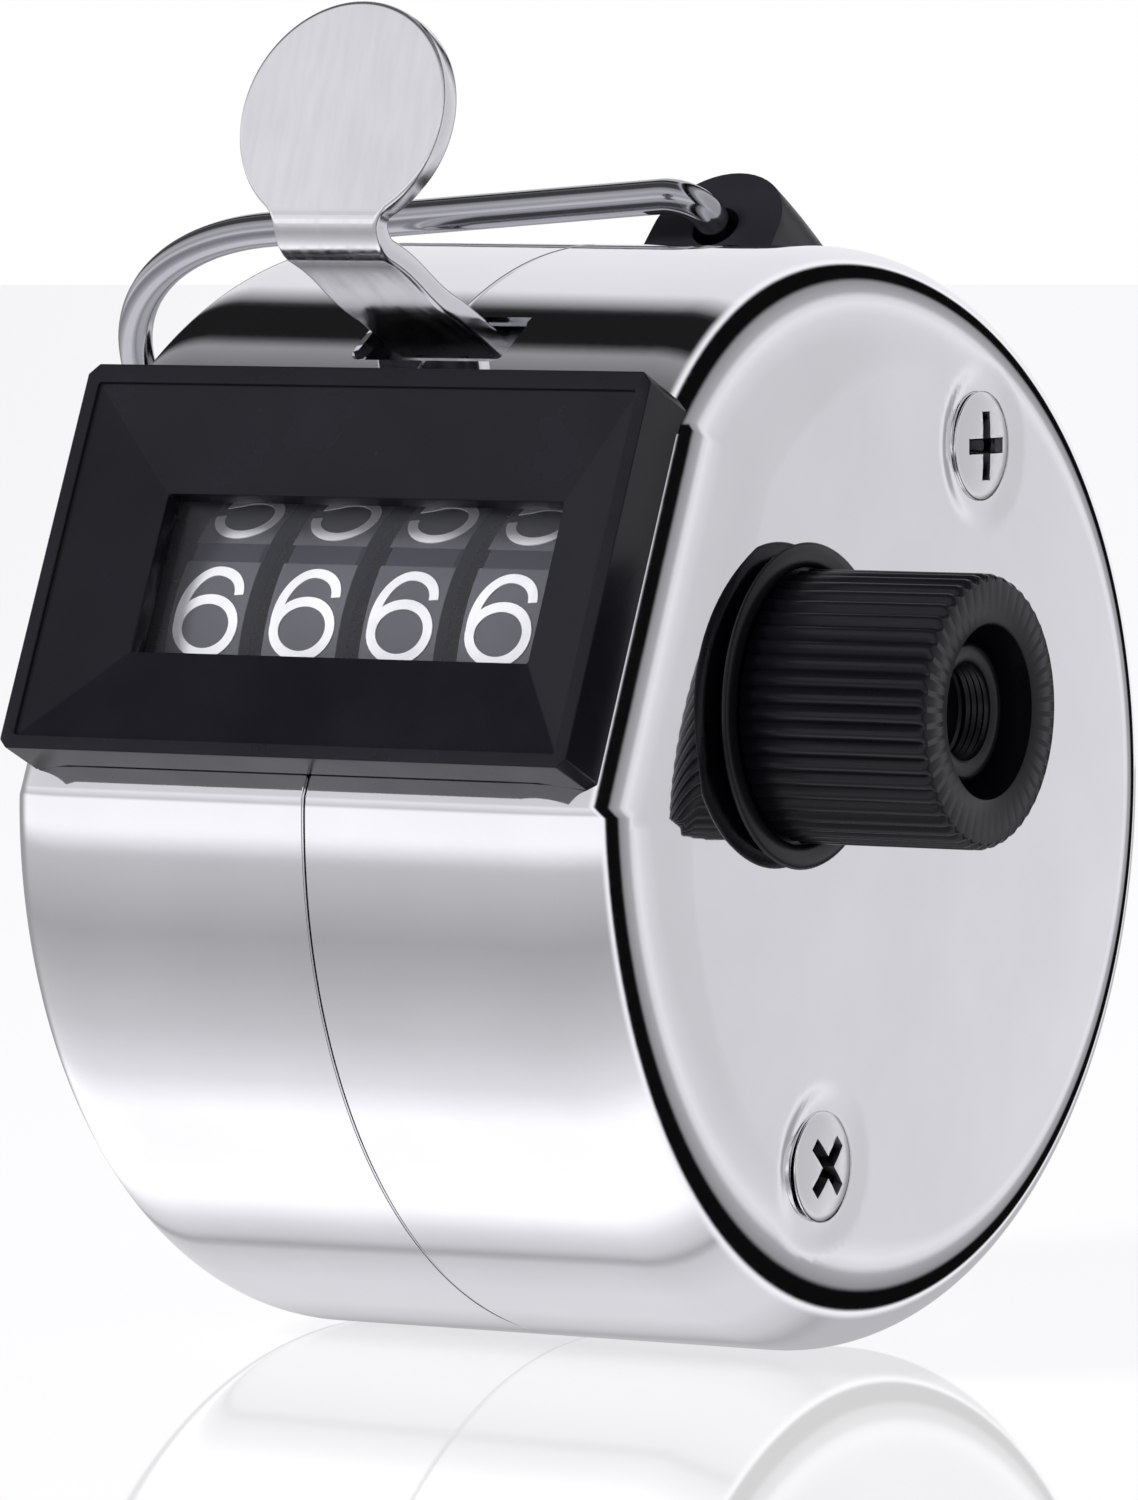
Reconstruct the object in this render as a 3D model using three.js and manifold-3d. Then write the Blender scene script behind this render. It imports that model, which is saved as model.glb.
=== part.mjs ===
// Hand tally counter: a chromed round case lying on its side, millimetres, +Z up.
// +X runs along the case axis to the reset knob, -Y is the display side.
// The origin is on the case axis, half way along the case.
import * as THREE from "three";
import { mergeVertices } from "three/addons/utils/BufferGeometryUtils.js";
import Module from "manifold-3d";

const wasm = await Module();
wasm.setup();
const { Manifold, Mesh } = wasm;

// ---- driving dimensions ----
const CASE_R = 22.5;
const CASE_HALF = 15.7;
const WALL = 0.7;
const CORNER_R = 5.0;
const SEAM_X = 0.4;
const SEAM_GAP = 0.3;
const GAP = 0.3;
const FACET = 20.9; // height of the flat behind the bezel above the case axis

const BEZEL_TILT = 24; // face leans back by this many degrees
const BEZEL_FACE = 22.8; // front rim plane from the case axis
const BEZEL_HALF = 13.25;
const BEZEL_LOW = -7.35;
const BEZEL_HIGH = 9.3;
const BEZEL_CORNER = 0.5;
const BEZEL_DEPTH = 3.8;
const BEZEL_BACK = 19.5;
const PLUG_INSET = 0.8; // how far the plug's sides lie inside the hood's
const FUNNEL = 1.0;
const RIM = 0.6;
const WINDOW = { x0: -8.7, x1: 9.9, v0: -2.7, v1: 4.1 };
const WINDOW_PLATE = 0.9;
const LENS_T = 0.6;

const WHEEL_AXIS = { y: -10.2, z: 4.4 };
const WHEEL_R = 8.7;
const WHEEL_W = 3.4;
const WHEEL_X = [-8.55, -3.95, 0.65, 5.25]; // left face of each rim, thousands first
const SHAFT_R = 1.6;
const RUN_GAP = 0.2; // radial running clearance

const GEAR_MODULE = 0.68;
const GEAR_TEETH = 20;
const PINION_TEETH = 8;
const GEAR_T = 0.5;
const PINION_W = 0.9;
const PINION_SIDE = 0.13;
const PINION_ANGLE = -30;
const PINION_SHAFT_R = 0.6;
const CARRY_R = 5.85;

const LEVER_PIVOT = { y: -8.68, z: 17.75 };
const LEVER_T = 1.0;
const STRIP_W = 4.9;
const STRIP_X = -0.3;
const STRIP_RISE = 25.3; // degrees above level
const STRIP_REACH = 12.1; // from the pivot to the bend
const PAD_R = 4.8;
const PAD_LEAN = 18.6; // degrees back from upright
const PAD_RISE = 5.0; // from the bend to the disc centre
const SLEEVE_R = 1.7;
const PIVOT_PIN_R = 0.8;
const SLOT = { x0: -3.1, x1: 3.9, angle: 56.8, width: 2.85 };

const RATCHET_TEETH = 10;
const RATCHET_R = 4.6;
const RATCHET_ROOT = 3.45;
const RATCHET_X = 8.85;
const RATCHET_T = 0.9;
const ARM_X = 10.0;
const ARM_T = 0.9;
const PAWL_PIVOT = { y: -6.5, z: 10.9 };
const PAWL_PIN_R = 0.5;

const PLATE_R = 21.2;
const PLATE_T = 0.8;
const PLATE_X = [-10.2, 11.3];
const PLATE_FRONT = 19.2;
const POST_R = 2.2;
const SCREWS = { upper: [5.4, 14.3], lower: [-7.5, -14.2] };
const SCREW_HEAD_R = 2.25;
const SCREW_SHANK_R = 1.0;
const SCREW_LEN = 11;
const SCREW_HEAD_T = 0.35;
const DIMPLE_R = 3.7;
const DIMPLE_DEPTH = 0.16;

const KNOB_R = 5.45;
const KNOB_START = 16.2;
const KNOB_END = 24.6;
const KNOB_RIBS = 48;
const KNOB_RIB_DEPTH = 0.25;
const BOSS_R = 2.75; // raised ring in the knob's end
const GROOVE_R = 3.45; // rim of the groove round it
const SOCKET_R = 1.95;
const COLLAR_R = 6.5;

const BLOCK_TURN = 42; // degrees behind upright
const BLOCK_HALF = 8.45;
const BLOCK_R = 3.05;
const BLOCK_BULGE = 1.0; // the block's middle is larger all round by this
const BLOCK_CENTRE = 23.5; // height of the rounded top's centre from the case axis
const RING_AXIS = 23.56; // height of the swivel line from the case axis
const WIRE_R = 0.75;
const RING_HALF = 10.5; // half the ring's width, wire centre
const RING_LEG = 20.4; // straight part, from the swivel line
const RING_DROP = 6; // degrees it lies below the tangent at rest
const RING_BEND = 1.6;
const RING_STUB = 5.4; // wire end, from the block's middle

const RAD = Math.PI / 180;
const rise = STRIP_RISE * RAD;
const FULL = { bevelEnabled: false };

// ---- solids ----
function solid(geometry) {
  const g = geometry.clone();
  g.deleteAttribute("normal");
  g.deleteAttribute("uv");
  const merged = mergeVertices(g, 1e-4);
  return new Manifold(
    new Mesh({
      numProp: 3,
      vertProperties: merged.attributes.position.array,
      triVerts: new Uint32Array(merged.index.array),
    }),
  );
}

const SLIVER = 0.004; // edges shorter than this are merged away

function geometryOf(shape) {
  const m = shape.simplify(SLIVER).getMesh();
  const g = new THREE.BufferGeometry();
  g.setAttribute("position", new THREE.BufferAttribute(m.vertProperties, 3));
  g.setIndex(new THREE.BufferAttribute(m.triVerts, 1));
  const flat = g.toNonIndexed();
  flat.computeVertexNormals();
  return flat;
}

const union = (...list) => list.reduce((a, b) => a.add(b));
const cut = (body, ...tools) => tools.reduce((a, b) => a.subtract(b), body);
const intersection = (...list) => list.reduce((a, b) => a.intersect(b));

// A profile of [radius, x] pairs turned about the line y, z parallel to X.
function turned(profile, segments = 32, y = 0, z = 0) {
  const points = profile.map(([r, x]) => new THREE.Vector2(r, x));
  const closed = profile[0][0] > 0;
  if (closed) points.push(points[0].clone());
  const g = new THREE.LatheGeometry(points, segments);
  g.rotateZ(-Math.PI / 2);
  g.translate(0, y, z);
  const made = solid(g);
  return made.volume() < 0 ? turned([...profile].reverse(), segments, y, z) : made;
}

function rod(radius, x0, x1, y = 0, z = 0, segments = 24) {
  return turned([[0, x0], [radius, x0], [radius, x1], [0, x1]], segments, y, z);
}

// Axes of the drawing plane and the extrusion: across, up, along.
function frameMatrix(across, up, along) {
  return new THREE.Matrix4().makeBasis(across, up, along);
}

const X = new THREE.Vector3(1, 0, 0);
const Y = new THREE.Vector3(0, 1, 0);
const Z = new THREE.Vector3(0, 0, 1);
const SIDE = frameMatrix(Y, Z, X); // drawings in [y, z], thickness along x

function plate(outline, depth, matrix, start = 0) {
  const shape = new THREE.Shape(outline.map(([a, b]) => new THREE.Vector2(a, b)));
  const g = new THREE.ExtrudeGeometry(shape, { depth, ...FULL });
  g.translate(0, 0, start);
  g.applyMatrix4(matrix);
  return solid(g);
}

const sideplate = (outline, x0, depth) => plate(outline, depth, SIDE, x0);

// Skin over convex loops of equal length, in order, closed with a fan at each end.
function loft(loops) {
  const count = loops[0].length;
  const last = (loops.length - 1) * count;
  const index = [];
  for (let row = 0; row < last; row += count) {
    for (let i = 0; i < count; i += 1) {
      const j = (i + 1) % count;
      index.push(row + i, row + j, row + count + j, row + i, row + count + j, row + count + i);
    }
  }
  for (let i = 1; i < count - 1; i += 1) {
    index.push(0, i + 1, i, last, last + i, last + i + 1);
  }
  const g = new THREE.BufferGeometry().setFromPoints(loops.flat());
  g.setIndex(index);
  return solid(g);
}

function circle(radius, a = 0, b = 0, count = 24) {
  return Array.from({ length: count }, (_, i) => {
    const t = (i / count) * 2 * Math.PI;
    return [a + radius * Math.cos(t), b + radius * Math.sin(t)];
  });
}

function rect(a0, a1, b0, b1) {
  return [[a0, b0], [a1, b0], [a1, b1], [a0, b1]];
}

// ---- case ----
const CORNER_STEPS = 5;

function cupProfile(sign, open) {
  const end = CASE_HALF;
  const outer = [];
  const inner = [];
  for (let i = 0; i <= CORNER_STEPS; i += 1) {
    const t = (i / CORNER_STEPS) * 90 * RAD;
    const ro = CORNER_R;
    const ri = CORNER_R - WALL;
    outer.push([CASE_R - ro + ro * Math.sin(t), end - ro + ro * Math.cos(t)]);
    inner.push([CASE_R - ro + ri * Math.sin(t), end - ro + ri * Math.cos(t)]);
  }
  const profile = [
    [0, end],
    ...outer,
    [CASE_R, open],
    [CASE_R - WALL, open],
    ...inner.reverse(),
    [0, end - WALL],
  ];
  return profile.map(([r, x]) => [r, sign * x]);
}

const tilt = BEZEL_TILT * RAD;
const BEZEL_UP = new THREE.Vector3(0, Math.sin(tilt), Math.cos(tilt));
const BEZEL_OUT = new THREE.Vector3(0, -Math.cos(tilt), Math.sin(tilt));

// Presses the flat behind the bezel into a turned case; every surface keeps its depth below the skin.
function pressed(body) {
  return body.warp((point) => {
    const radius = Math.hypot(point[1], point[2]);
    const height = point[1] * BEZEL_OUT.y + point[2] * BEZEL_OUT.z;
    const excess = height - (FACET - CASE_R + radius);
    if (radius > SHAFT_R && excess > 0) {
      point[1] -= excess * BEZEL_OUT.y;
      point[2] -= excess * BEZEL_OUT.z;
    }
  });
}

const CASE_SEGMENTS = 60;
const END_SHARE = 0.6; // a grown case grows less at its ends

function caseSolid(grow) {
  const corner = (sign) => cupProfile(sign, 0)
    .slice(1, CORNER_STEPS + 2)
    .map(([r, x]) => [r + grow, x + sign * grow * END_SHARE]);
  const profile = [[0, -CASE_HALF - grow], ...corner(-1), ...corner(1).reverse(), [0, CASE_HALF + grow]];
  return pressed(turned(profile, CASE_SEGMENTS));
}

// ---- bezel: drawn in across = X, up = BEZEL_UP, out of the face = BEZEL_OUT ----
const BEZEL = frameMatrix(X, BEZEL_UP, BEZEL_OUT);
const BEZEL_X_SECTION = frameMatrix(X, BEZEL_OUT, BEZEL_UP.clone().negate());
const BEZEL_V_SECTION = frameMatrix(BEZEL_UP, BEZEL_OUT, X);

function chamfered(x, v0, v1, c) {
  return [
    [-x + c, v0], [x - c, v0], [x, v0 + c], [x, v1 - c],
    [x - c, v1], [-x + c, v1], [-x, v1 - c], [-x, v0 + c],
  ];
}

const plugX = BEZEL_HALF - PLUG_INSET;
const plugLow = BEZEL_LOW + PLUG_INSET;
const plugHigh = BEZEL_HIGH - PLUG_INSET;

const bezelOpening = plate(
  rect(-plugX - GAP, plugX + GAP, plugLow - GAP, plugHigh + GAP), 8, BEZEL, BEZEL_BACK - 3,
);

// The part of the display's mouth seen in one section, spreading from the window to the rim.
function funnel(matrix, window, mouth) {
  const floor = BEZEL_FACE - FUNNEL;
  const above = 1;
  const spread = above / FUNNEL;
  const outline = [
    [window[0], floor],
    [window[1], floor],
    [mouth[1] + (mouth[1] - window[1]) * spread, BEZEL_FACE + above],
    [mouth[0] + (mouth[0] - window[0]) * spread, BEZEL_FACE + above],
  ];
  return plate(outline, 2 * CUT_REACH, matrix, -CUT_REACH);
}

const CUT_REACH = 20; // cutters run this far past the middle
const SEAT = { x: 1.2, v: 1.5 }; // the lens pocket is wider and taller than the window by these

function bezelBody() {
  const outline = chamfered(BEZEL_HALF, BEZEL_LOW, BEZEL_HIGH, BEZEL_CORNER);
  const hood = cut(plate(outline, BEZEL_DEPTH, BEZEL, BEZEL_FACE - BEZEL_DEPTH), caseSolid(GAP));
  const plug = plate(
    rect(-plugX, plugX, plugLow, plugHigh), BEZEL_FACE - BEZEL_BACK, BEZEL, BEZEL_BACK,
  );
  const mouthX = BEZEL_HALF - RIM;
  const mouth = intersection(
    funnel(BEZEL_X_SECTION, [WINDOW.x0, WINDOW.x1], [-mouthX, mouthX]),
    funnel(BEZEL_V_SECTION, [WINDOW.v0, WINDOW.v1], [BEZEL_LOW + RIM, BEZEL_HIGH - RIM]),
  );
  const { x0, x1, v0, v1 } = WINDOW;
  const window = plate(rect(x0, x1, v0, v1), 6, BEZEL, BEZEL_BACK - 1);
  const pocket = plate(
    rect(x0 - SEAT.x, x1 + SEAT.x, v0 - SEAT.v, v1 + SEAT.v),
    BEZEL_FACE - FUNNEL - WINDOW_PLATE - BEZEL_BACK + 1, BEZEL, BEZEL_BACK - 1,
  );
  return cut(union(hood, plug), mouth, window, pocket);
}

const lensX = SEAT.x - GAP;
const lensV = SEAT.v - GAP;
const lens = plate(
  rect(WINDOW.x0 - lensX, WINDOW.x1 + lensX, WINDOW.v0 - lensV, WINDOW.v1 + lensV),
  LENS_T, BEZEL, BEZEL_FACE - FUNNEL - WINDOW_PLATE - 0.1 - LENS_T,
);

// ---- case shells ----
const slotTurn = SLOT.angle * RAD;
const slotMatrix = frameMatrix(
  X,
  new THREE.Vector3(0, Math.sin(slotTurn), Math.cos(slotTurn)),
  new THREE.Vector3(0, -Math.cos(slotTurn), Math.sin(slotTurn)),
);
const leverSlot = plate(rect(SLOT.x0, SLOT.x1, -SLOT.width / 2, SLOT.width / 2), 4, slotMatrix, 20);

// The slot's rear wall slants with the strip, which runs out through it.
function stripPassage() {
  const reach = (k, m) => [
    LEVER_PIVOT.y - Math.cos(rise) * k + Math.sin(rise) * m,
    LEVER_PIVOT.z + Math.sin(rise) * k + Math.cos(rise) * m,
  ];
  const half = LEVER_T / 2 + GAP;
  return sideplate([reach(6, -half), reach(1.4, -half), reach(1.4, half), reach(6, half)].reverse(),
    SLOT.x0, SLOT.x1 - SLOT.x0);
}

function shell(sign) {
  const cup = pressed(turned(cupProfile(sign, sign * SEAM_X + SEAM_GAP / 2), CASE_SEGMENTS));
  const body = cut(cup, bezelOpening, leverSlot, stripPassage());
  if (sign < 0) return body;
  const end = CASE_HALF;
  const shaftHole = rod(SHAFT_R + 0.9, end - 2, end + 1, WHEEL_AXIS.y, WHEEL_AXIS.z);
  return Object.values(SCREWS).reduce((shellSoFar, [y, z]) => {
    const dimple = turned(
      [
        [0, end - DIMPLE_DEPTH], [SCREW_HEAD_R + 0.15, end - DIMPLE_DEPTH],
        [DIMPLE_R, end + 0.01], [DIMPLE_R, end + 1], [0, end + 1],
      ],
      24, y, z,
    );
    return cut(shellSoFar, dimple, rod(SCREW_SHANK_R + GAP, end - 2, end + 1, y, z, 16));
  }, cut(body, shaftHole));
}

// ---- number wheels and transfer train ----
function gearOutline(teeth, pitchR, outerR, rootR, tip, foot, turn = 0) {
  const points = [];
  for (let i = 0; i < teeth; i += 1) {
    const centre = (i / teeth) * 2 * Math.PI + turn;
    const places = [[rootR, -foot / rootR], [outerR, -tip / outerR], [outerR, tip / outerR], [rootR, foot / rootR]];
    for (const [r, t] of places) {
      points.push([r * Math.cos(centre + t), r * Math.sin(centre + t)]);
    }
  }
  return points;
}

const shifted = (outline, y, z) => outline.map(([a, b]) => [a + y, b + z]);

const gearPitchR = (GEAR_MODULE * GEAR_TEETH) / 2;
const pinionPitchR = (GEAR_MODULE * PINION_TEETH) / 2;
const pinionTurn = PINION_ANGLE * RAD;
const PINION_AXIS = {
  y: WHEEL_AXIS.y + (gearPitchR + pinionPitchR) * Math.cos(pinionTurn),
  z: WHEEL_AXIS.z + (gearPitchR + pinionPitchR) * Math.sin(pinionTurn),
};

function wheel(index) {
  const x0 = WHEEL_X[index];
  const x1 = x0 + WHEEL_W;
  const { y, z } = WHEEL_AXIS;
  const bore = SHAFT_R + RUN_GAP;
  const rim = turned(
    [[bore, x0], [WHEEL_R, x0], [WHEEL_R, x1], [7.9, x1], [7.9, x0 + 1.6], [3.4, x0 + 1.6], [3.4, x1], [bore, x1]],
    30, y, z,
  );
  const pieces = [rim];
  if (index < 3) {
    const outline = gearOutline(
      GEAR_TEETH, gearPitchR, gearPitchR + 0.5, gearPitchR - 0.75, 0.24, 0.55, pinionTurn,
    );
    const gear = sideplate(shifted(outline, y, z), x0 + 1.5, WHEEL_W - 1.5 + GEAR_T);
    pieces.push(cut(gear, rod(bore, x0, x1 + 1, y, z)));
  }
  if (index > 0) {
    const disc = turned([[bore, x0 - 0.35], [CARRY_R, x0 - 0.35], [CARRY_R, x0 + 0.1], [bore, x0 + 0.1]], 30, y, z);
    const notch = sideplate(rect(y - 6.5, y - 4.9, z - 0.5, z + 0.5), x0 - 1, 0.95);
    pieces.push(cut(disc, notch));
  }
  return union(...pieces);
}

function pinion(index) {
  const x0 = WHEEL_X[index] + WHEEL_W + PINION_SIDE;
  const outline = gearOutline(
    PINION_TEETH, pinionPitchR, pinionPitchR + 0.5, pinionPitchR - 0.75, 0.22, 0.42,
    Math.PI / PINION_TEETH + pinionTurn + Math.PI,
  );
  const body = sideplate(shifted(outline, PINION_AXIS.y, PINION_AXIS.z), x0, PINION_W);
  return cut(body, rod(PINION_SHAFT_R + 0.15, x0 - 1, x0 + 2, PINION_AXIS.y, PINION_AXIS.z, 16));
}

// Ratchet: each tooth has a radial face towards the front at the top.
const DRIVEN_FACE = 101.6; // degrees from +Y towards +Z, the tooth the drive pawl holds
function ratchet() {
  const points = [];
  for (let i = 0; i < RATCHET_TEETH; i += 1) {
    const face = (DRIVEN_FACE - i * (360 / RATCHET_TEETH)) * RAD;
    const places = [[RATCHET_ROOT, face], [RATCHET_R, face], [RATCHET_R, face - 5 * RAD], [RATCHET_ROOT, face - 17 * RAD]];
    for (const [r, t] of places) {
      points.push([WHEEL_AXIS.y + r * Math.cos(t), WHEEL_AXIS.z + r * Math.sin(t)]);
    }
  }
  const body = sideplate(points.reverse(), RATCHET_X, RATCHET_T);
  return cut(body, rod(SHAFT_R + RUN_GAP, 8, 11, WHEEL_AXIS.y, WHEEL_AXIS.z));
}

// ---- thumb lever ----
const lean = PAD_LEAN * RAD;
const along = [-Math.cos(rise), Math.sin(rise)];
const P = LEVER_PIVOT;
const bend = [P.y + along[0] * STRIP_REACH, P.z + along[1] * STRIP_REACH];
const padUp = [Math.sin(lean), Math.cos(lean)];
const padNormal = new THREE.Vector3(0, -Math.cos(lean), Math.sin(lean));

function lever() {
  const half = LEVER_T / 2;
  const up = [-along[1], along[0]].map((c) => -c); // upper side of the strip
  const back = [Math.cos(lean), -Math.sin(lean)]; // rear side of the pad
  const miter = (LEVER_T / 2) * Math.tan((90 - STRIP_RISE - PAD_LEAN) * 0.5 * RAD);
  const at = (o, d, k, e, m) => [o[0] + d[0] * k + e[0] * m, o[1] + d[1] * k + e[1] * m];
  const start = [P.y, P.z];
  const strip = sideplate(
    [
      at(start, along, 0, up, -half),
      at(bend, along, miter, up, -half),
      at(bend, padUp, 2.4, back, -half),
      at(bend, padUp, 2.4, back, half),
      at(bend, along, -miter, up, half),
      at(start, along, 0, up, half),
    ].reverse(),
    STRIP_X - STRIP_W / 2,
    STRIP_W,
  );
  const padMatrix = frameMatrix(X, new THREE.Vector3(0, padUp[0], padUp[1]), padNormal);
  const centre = new THREE.Vector3(STRIP_X - 0.1, bend[0] + padUp[0] * PAD_RISE, bend[1] + padUp[1] * PAD_RISE);
  padMatrix.setPosition(centre);
  const pad = plate(circle(PAD_R, 0, 0, 48), LEVER_T, padMatrix, -half);
  const sleeve = rod(SLEEVE_R, -4.4, ARM_X + ARM_T, P.y, P.z);
  const K = PAWL_PIVOT;
  const arm = sideplate(
    [
      [P.y - 1.5, P.z - 0.6], [P.y + 1.5, P.z + 0.6], [K.y + 1.35, K.z + 0.4],
      [K.y + 1.0, K.z - 1.1], [K.y - 0.6, K.z - 1.25], [K.y - 1.4, K.z - 0.2],
    ],
    ARM_X,
    ARM_T,
  );
  return cut(
    union(strip, pad, sleeve, arm),
    rod(PIVOT_PIN_R + RUN_GAP, -12, 13, P.y, P.z),
    rod(PAWL_PIN_R + 0.1, 8, 12, K.y, K.z, 16),
  );
}

function drivePawl() {
  const K = PAWL_PIVOT;
  const outline = [
    [K.y + 1.2, K.z - 0.3], [K.y + 0.7, K.z + 1.05], [K.y - 0.8, K.z + 1.0],
    [-11.0, 10.35], [-12.05, 9.75], [-11.95, 8.75], [-11.75, 8.2], [-11.4, 8.15],
    [-11.42, 9.25], [-10.9, 9.55], [-9.0, 9.75], [K.y - 0.6, K.z - 1.1], [K.y + 0.6, K.z - 1.1],
  ];
  const body = sideplate([...outline].reverse(), RATCHET_X, RATCHET_T);
  return cut(body, rod(PAWL_PIN_R + 0.15, 8, 12, K.y, K.z, 16));
}

// Sprung finger that stops the ratchet running back, on a foot against the right plate.
function checkFinger() {
  const { y, z } = WHEEL_AXIS;
  const outline = [
    [y + 7.6, z - 8.2], [y + 8.8, z - 7.6], [y + 6.6, z - 4.4], [y + 3.9, z - 3.3], [y + 3.7, z - 3.7], [y + 6.0, z - 4.8],
  ];
  const finger = sideplate(outline, RATCHET_X + 0.1, 0.7);
  const foot = sideplate(rect(y + 7.3, y + 9.1, z - 9.4, z - 7.3), RATCHET_X + 0.1, 2.2);
  return finger.add(foot);
}

// Torsion spring round the pivot pin, left of the lever's sleeve.
function leverSpring() {
  const points = [];
  const turns = 4;
  const steps = 10;
  const radius = 1.5;
  points.push(new THREE.Vector3(-8.9, P.y + radius, P.z - 6));
  points.push(new THREE.Vector3(-8.9, P.y + radius, P.z - 3));
  for (let i = 0; i <= turns * steps; i += 1) {
    const t = (i / steps) * 2 * Math.PI;
    points.push(new THREE.Vector3(-8.9 + (i / (turns * steps)) * 3.6, P.y + radius * Math.cos(t), P.z + radius * Math.sin(t)));
  }
  points.push(new THREE.Vector3(-5.3, P.y + radius, P.z - 3));
  points.push(new THREE.Vector3(-5.3, P.y + radius, P.z - 5));
  const path = new THREE.CatmullRomCurve3(points, false, "catmullrom", 0.5);
  const section = new THREE.Shape(circle(0.25, 0, 0, 5).map(([a, b]) => new THREE.Vector2(a, b)));
  return solid(new THREE.ExtrudeGeometry(section, { steps: 64, extrudePath: path, ...FULL }));
}

// ---- reset knob ----
function knob() {
  const { y, z } = WHEEL_AXIS;
  const x0 = KNOB_START;
  const x1 = KNOB_END;
  const root = KNOB_R - KNOB_RIB_DEPTH;
  const step = (2 * Math.PI) / KNOB_RIBS;
  const rib = [[KNOB_R, 0], [KNOB_R, 0.45], [root, 0.72]]; // radius and share of a step
  const outline = [];
  for (let i = 0; i < KNOB_RIBS; i += 1) {
    for (const [r, share] of rib) {
      const t = (i + share) * step;
      outline.push([y + r * Math.cos(t), z + r * Math.sin(t)]);
    }
  }
  const ribs = sideplate(outline, x0, x1 - x0);
  const trim = turned(
    [[0, x0], [KNOB_R + 0.2, x0], [KNOB_R + 0.2, x1 - 0.3], [KNOB_R - 0.2, x1], [0, x1]], 48, y, z,
  );
  const groove = turned(
    [[BOSS_R, x1 - 2.4], [GROOVE_R - 0.15, x1 - 2.4], [GROOVE_R, x1 + 1], [BOSS_R, x1 + 1]], 32, y, z,
  );
  const bossTop = rod(BOSS_R + 0.05, x1 - 1, x1 + 1, y, z, 32);
  const socket = rod(SOCKET_R, x1 - 2.5, x1 + 1, y, z);
  const bore = rod(SHAFT_R + 0.15, x0 - 1, x0 + 5.4, y, z);
  return cut(ribs.intersect(trim), groove, bossTop, socket, bore);
}

function collar() {
  const { y, z } = WHEEL_AXIS;
  const x0 = CASE_HALF + 0.1;
  return turned(
    [
      [SHAFT_R + 0.3, x0], [COLLAR_R, x0], [COLLAR_R - 0.1, x0 + 0.25], [COLLAR_R - 0.5, x0 + 0.5],
      [KNOB_R + 0.35, x0 + 0.62], [KNOB_R + 0.35, x0 + 0.15], [SHAFT_R + 0.3, x0 + 0.15],
    ],
    40, y, z,
  );
}

// ---- frame plates, posts, screws ----
function framePlate(x0) {
  const disc = rod(PLATE_R, x0, x0 + PLATE_T, 0, 0, 48);
  const front = plate(rect(-30, 30, -30, 30), 12, BEZEL, PLATE_FRONT);
  const holes = [
    [SHAFT_R + RUN_GAP, WHEEL_AXIS.y, WHEEL_AXIS.z],
    [PIVOT_PIN_R + 0.1, P.y, P.z],
    [PINION_SHAFT_R + 0.1, PINION_AXIS.y, PINION_AXIS.z],
    ...Object.values(SCREWS).map(([y, z]) => [SCREW_SHANK_R + 0.3, y, z]),
  ];
  return cut(disc, front, ...holes.map(([r, y, z]) => rod(r, x0 - 1, x0 + 2, y, z, 16)));
}

function post([y, z]) {
  const x0 = PLATE_X[0] + PLATE_T + 0.1;
  const x1 = PLATE_X[1] - 0.1;
  return cut(rod(POST_R, x0, x1, y, z), rod(SCREW_SHANK_R + 0.2, x1 - 9.5, x1 + 1, y, z));
}

function screw([y, z]) {
  const face = CASE_HALF - DIMPLE_DEPTH + 0.05;
  const rim = SCREW_HEAD_R;
  const head = turned(
    [
      [0, face], [rim - 0.1, face], [rim, face + 0.1], [rim - 0.15, face + 0.27],
      [rim - 0.6, face + SCREW_HEAD_T], [0, face + SCREW_HEAD_T],
    ],
    24, y, z,
  );
  const shank = rod(SCREW_SHANK_R, face - SCREW_LEN, face + 0.1, y, z, 16);
  const long = 1.45;
  const wide = 0.3;
  const cross = [[long, wide], [wide, long]].map(([a, b]) =>
    sideplate(rect(y - a, y + a, z - b, z + b), face + 0.1, 2));
  return cut(head.add(shank), ...cross);
}

// ---- finger ring and its block: out = away from the case, along = the swivel line ----
const turnBack = BLOCK_TURN * RAD;
const RING_OUT = new THREE.Vector3(0, Math.sin(turnBack), Math.cos(turnBack));
const RING_ALONG = new THREE.Vector3(0, Math.cos(turnBack), -Math.sin(turnBack));
const BLOCK = frameMatrix(X, RING_OUT, RING_ALONG.clone().negate());

function ringBlock() {
  const rows = 10;
  const arcSteps = 12;
  const root = 17; // the block starts inside the case and is trimmed to its skin
  const loops = [];
  for (let row = 0; row <= rows; row += 1) {
    const along = BLOCK_HALF * ((2 * row) / rows - 1);
    const radius = BLOCK_R + BLOCK_BULGE * (1 - (along / BLOCK_HALF) ** 2);
    const loop = [[-radius, root], [radius, root]];
    for (let i = 0; i <= arcSteps; i += 1) {
      const t = (i / arcSteps) * Math.PI;
      loop.push([radius * Math.cos(t), BLOCK_CENTRE + radius * Math.sin(t)]);
    }
    loops.push(loop.map(([x, out]) => new THREE.Vector3(SEAM_X + x, out, along).applyMatrix4(BLOCK)));
  }
  const hole = (start) => plate(circle(WIRE_R + GAP, SEAM_X, RING_AXIS, 20), 3.6, BLOCK, start);
  return cut(loft(loops), caseSolid(GAP), hole(-BLOCK_HALF - 0.1), hole(BLOCK_HALF - 3.5));
}

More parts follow.
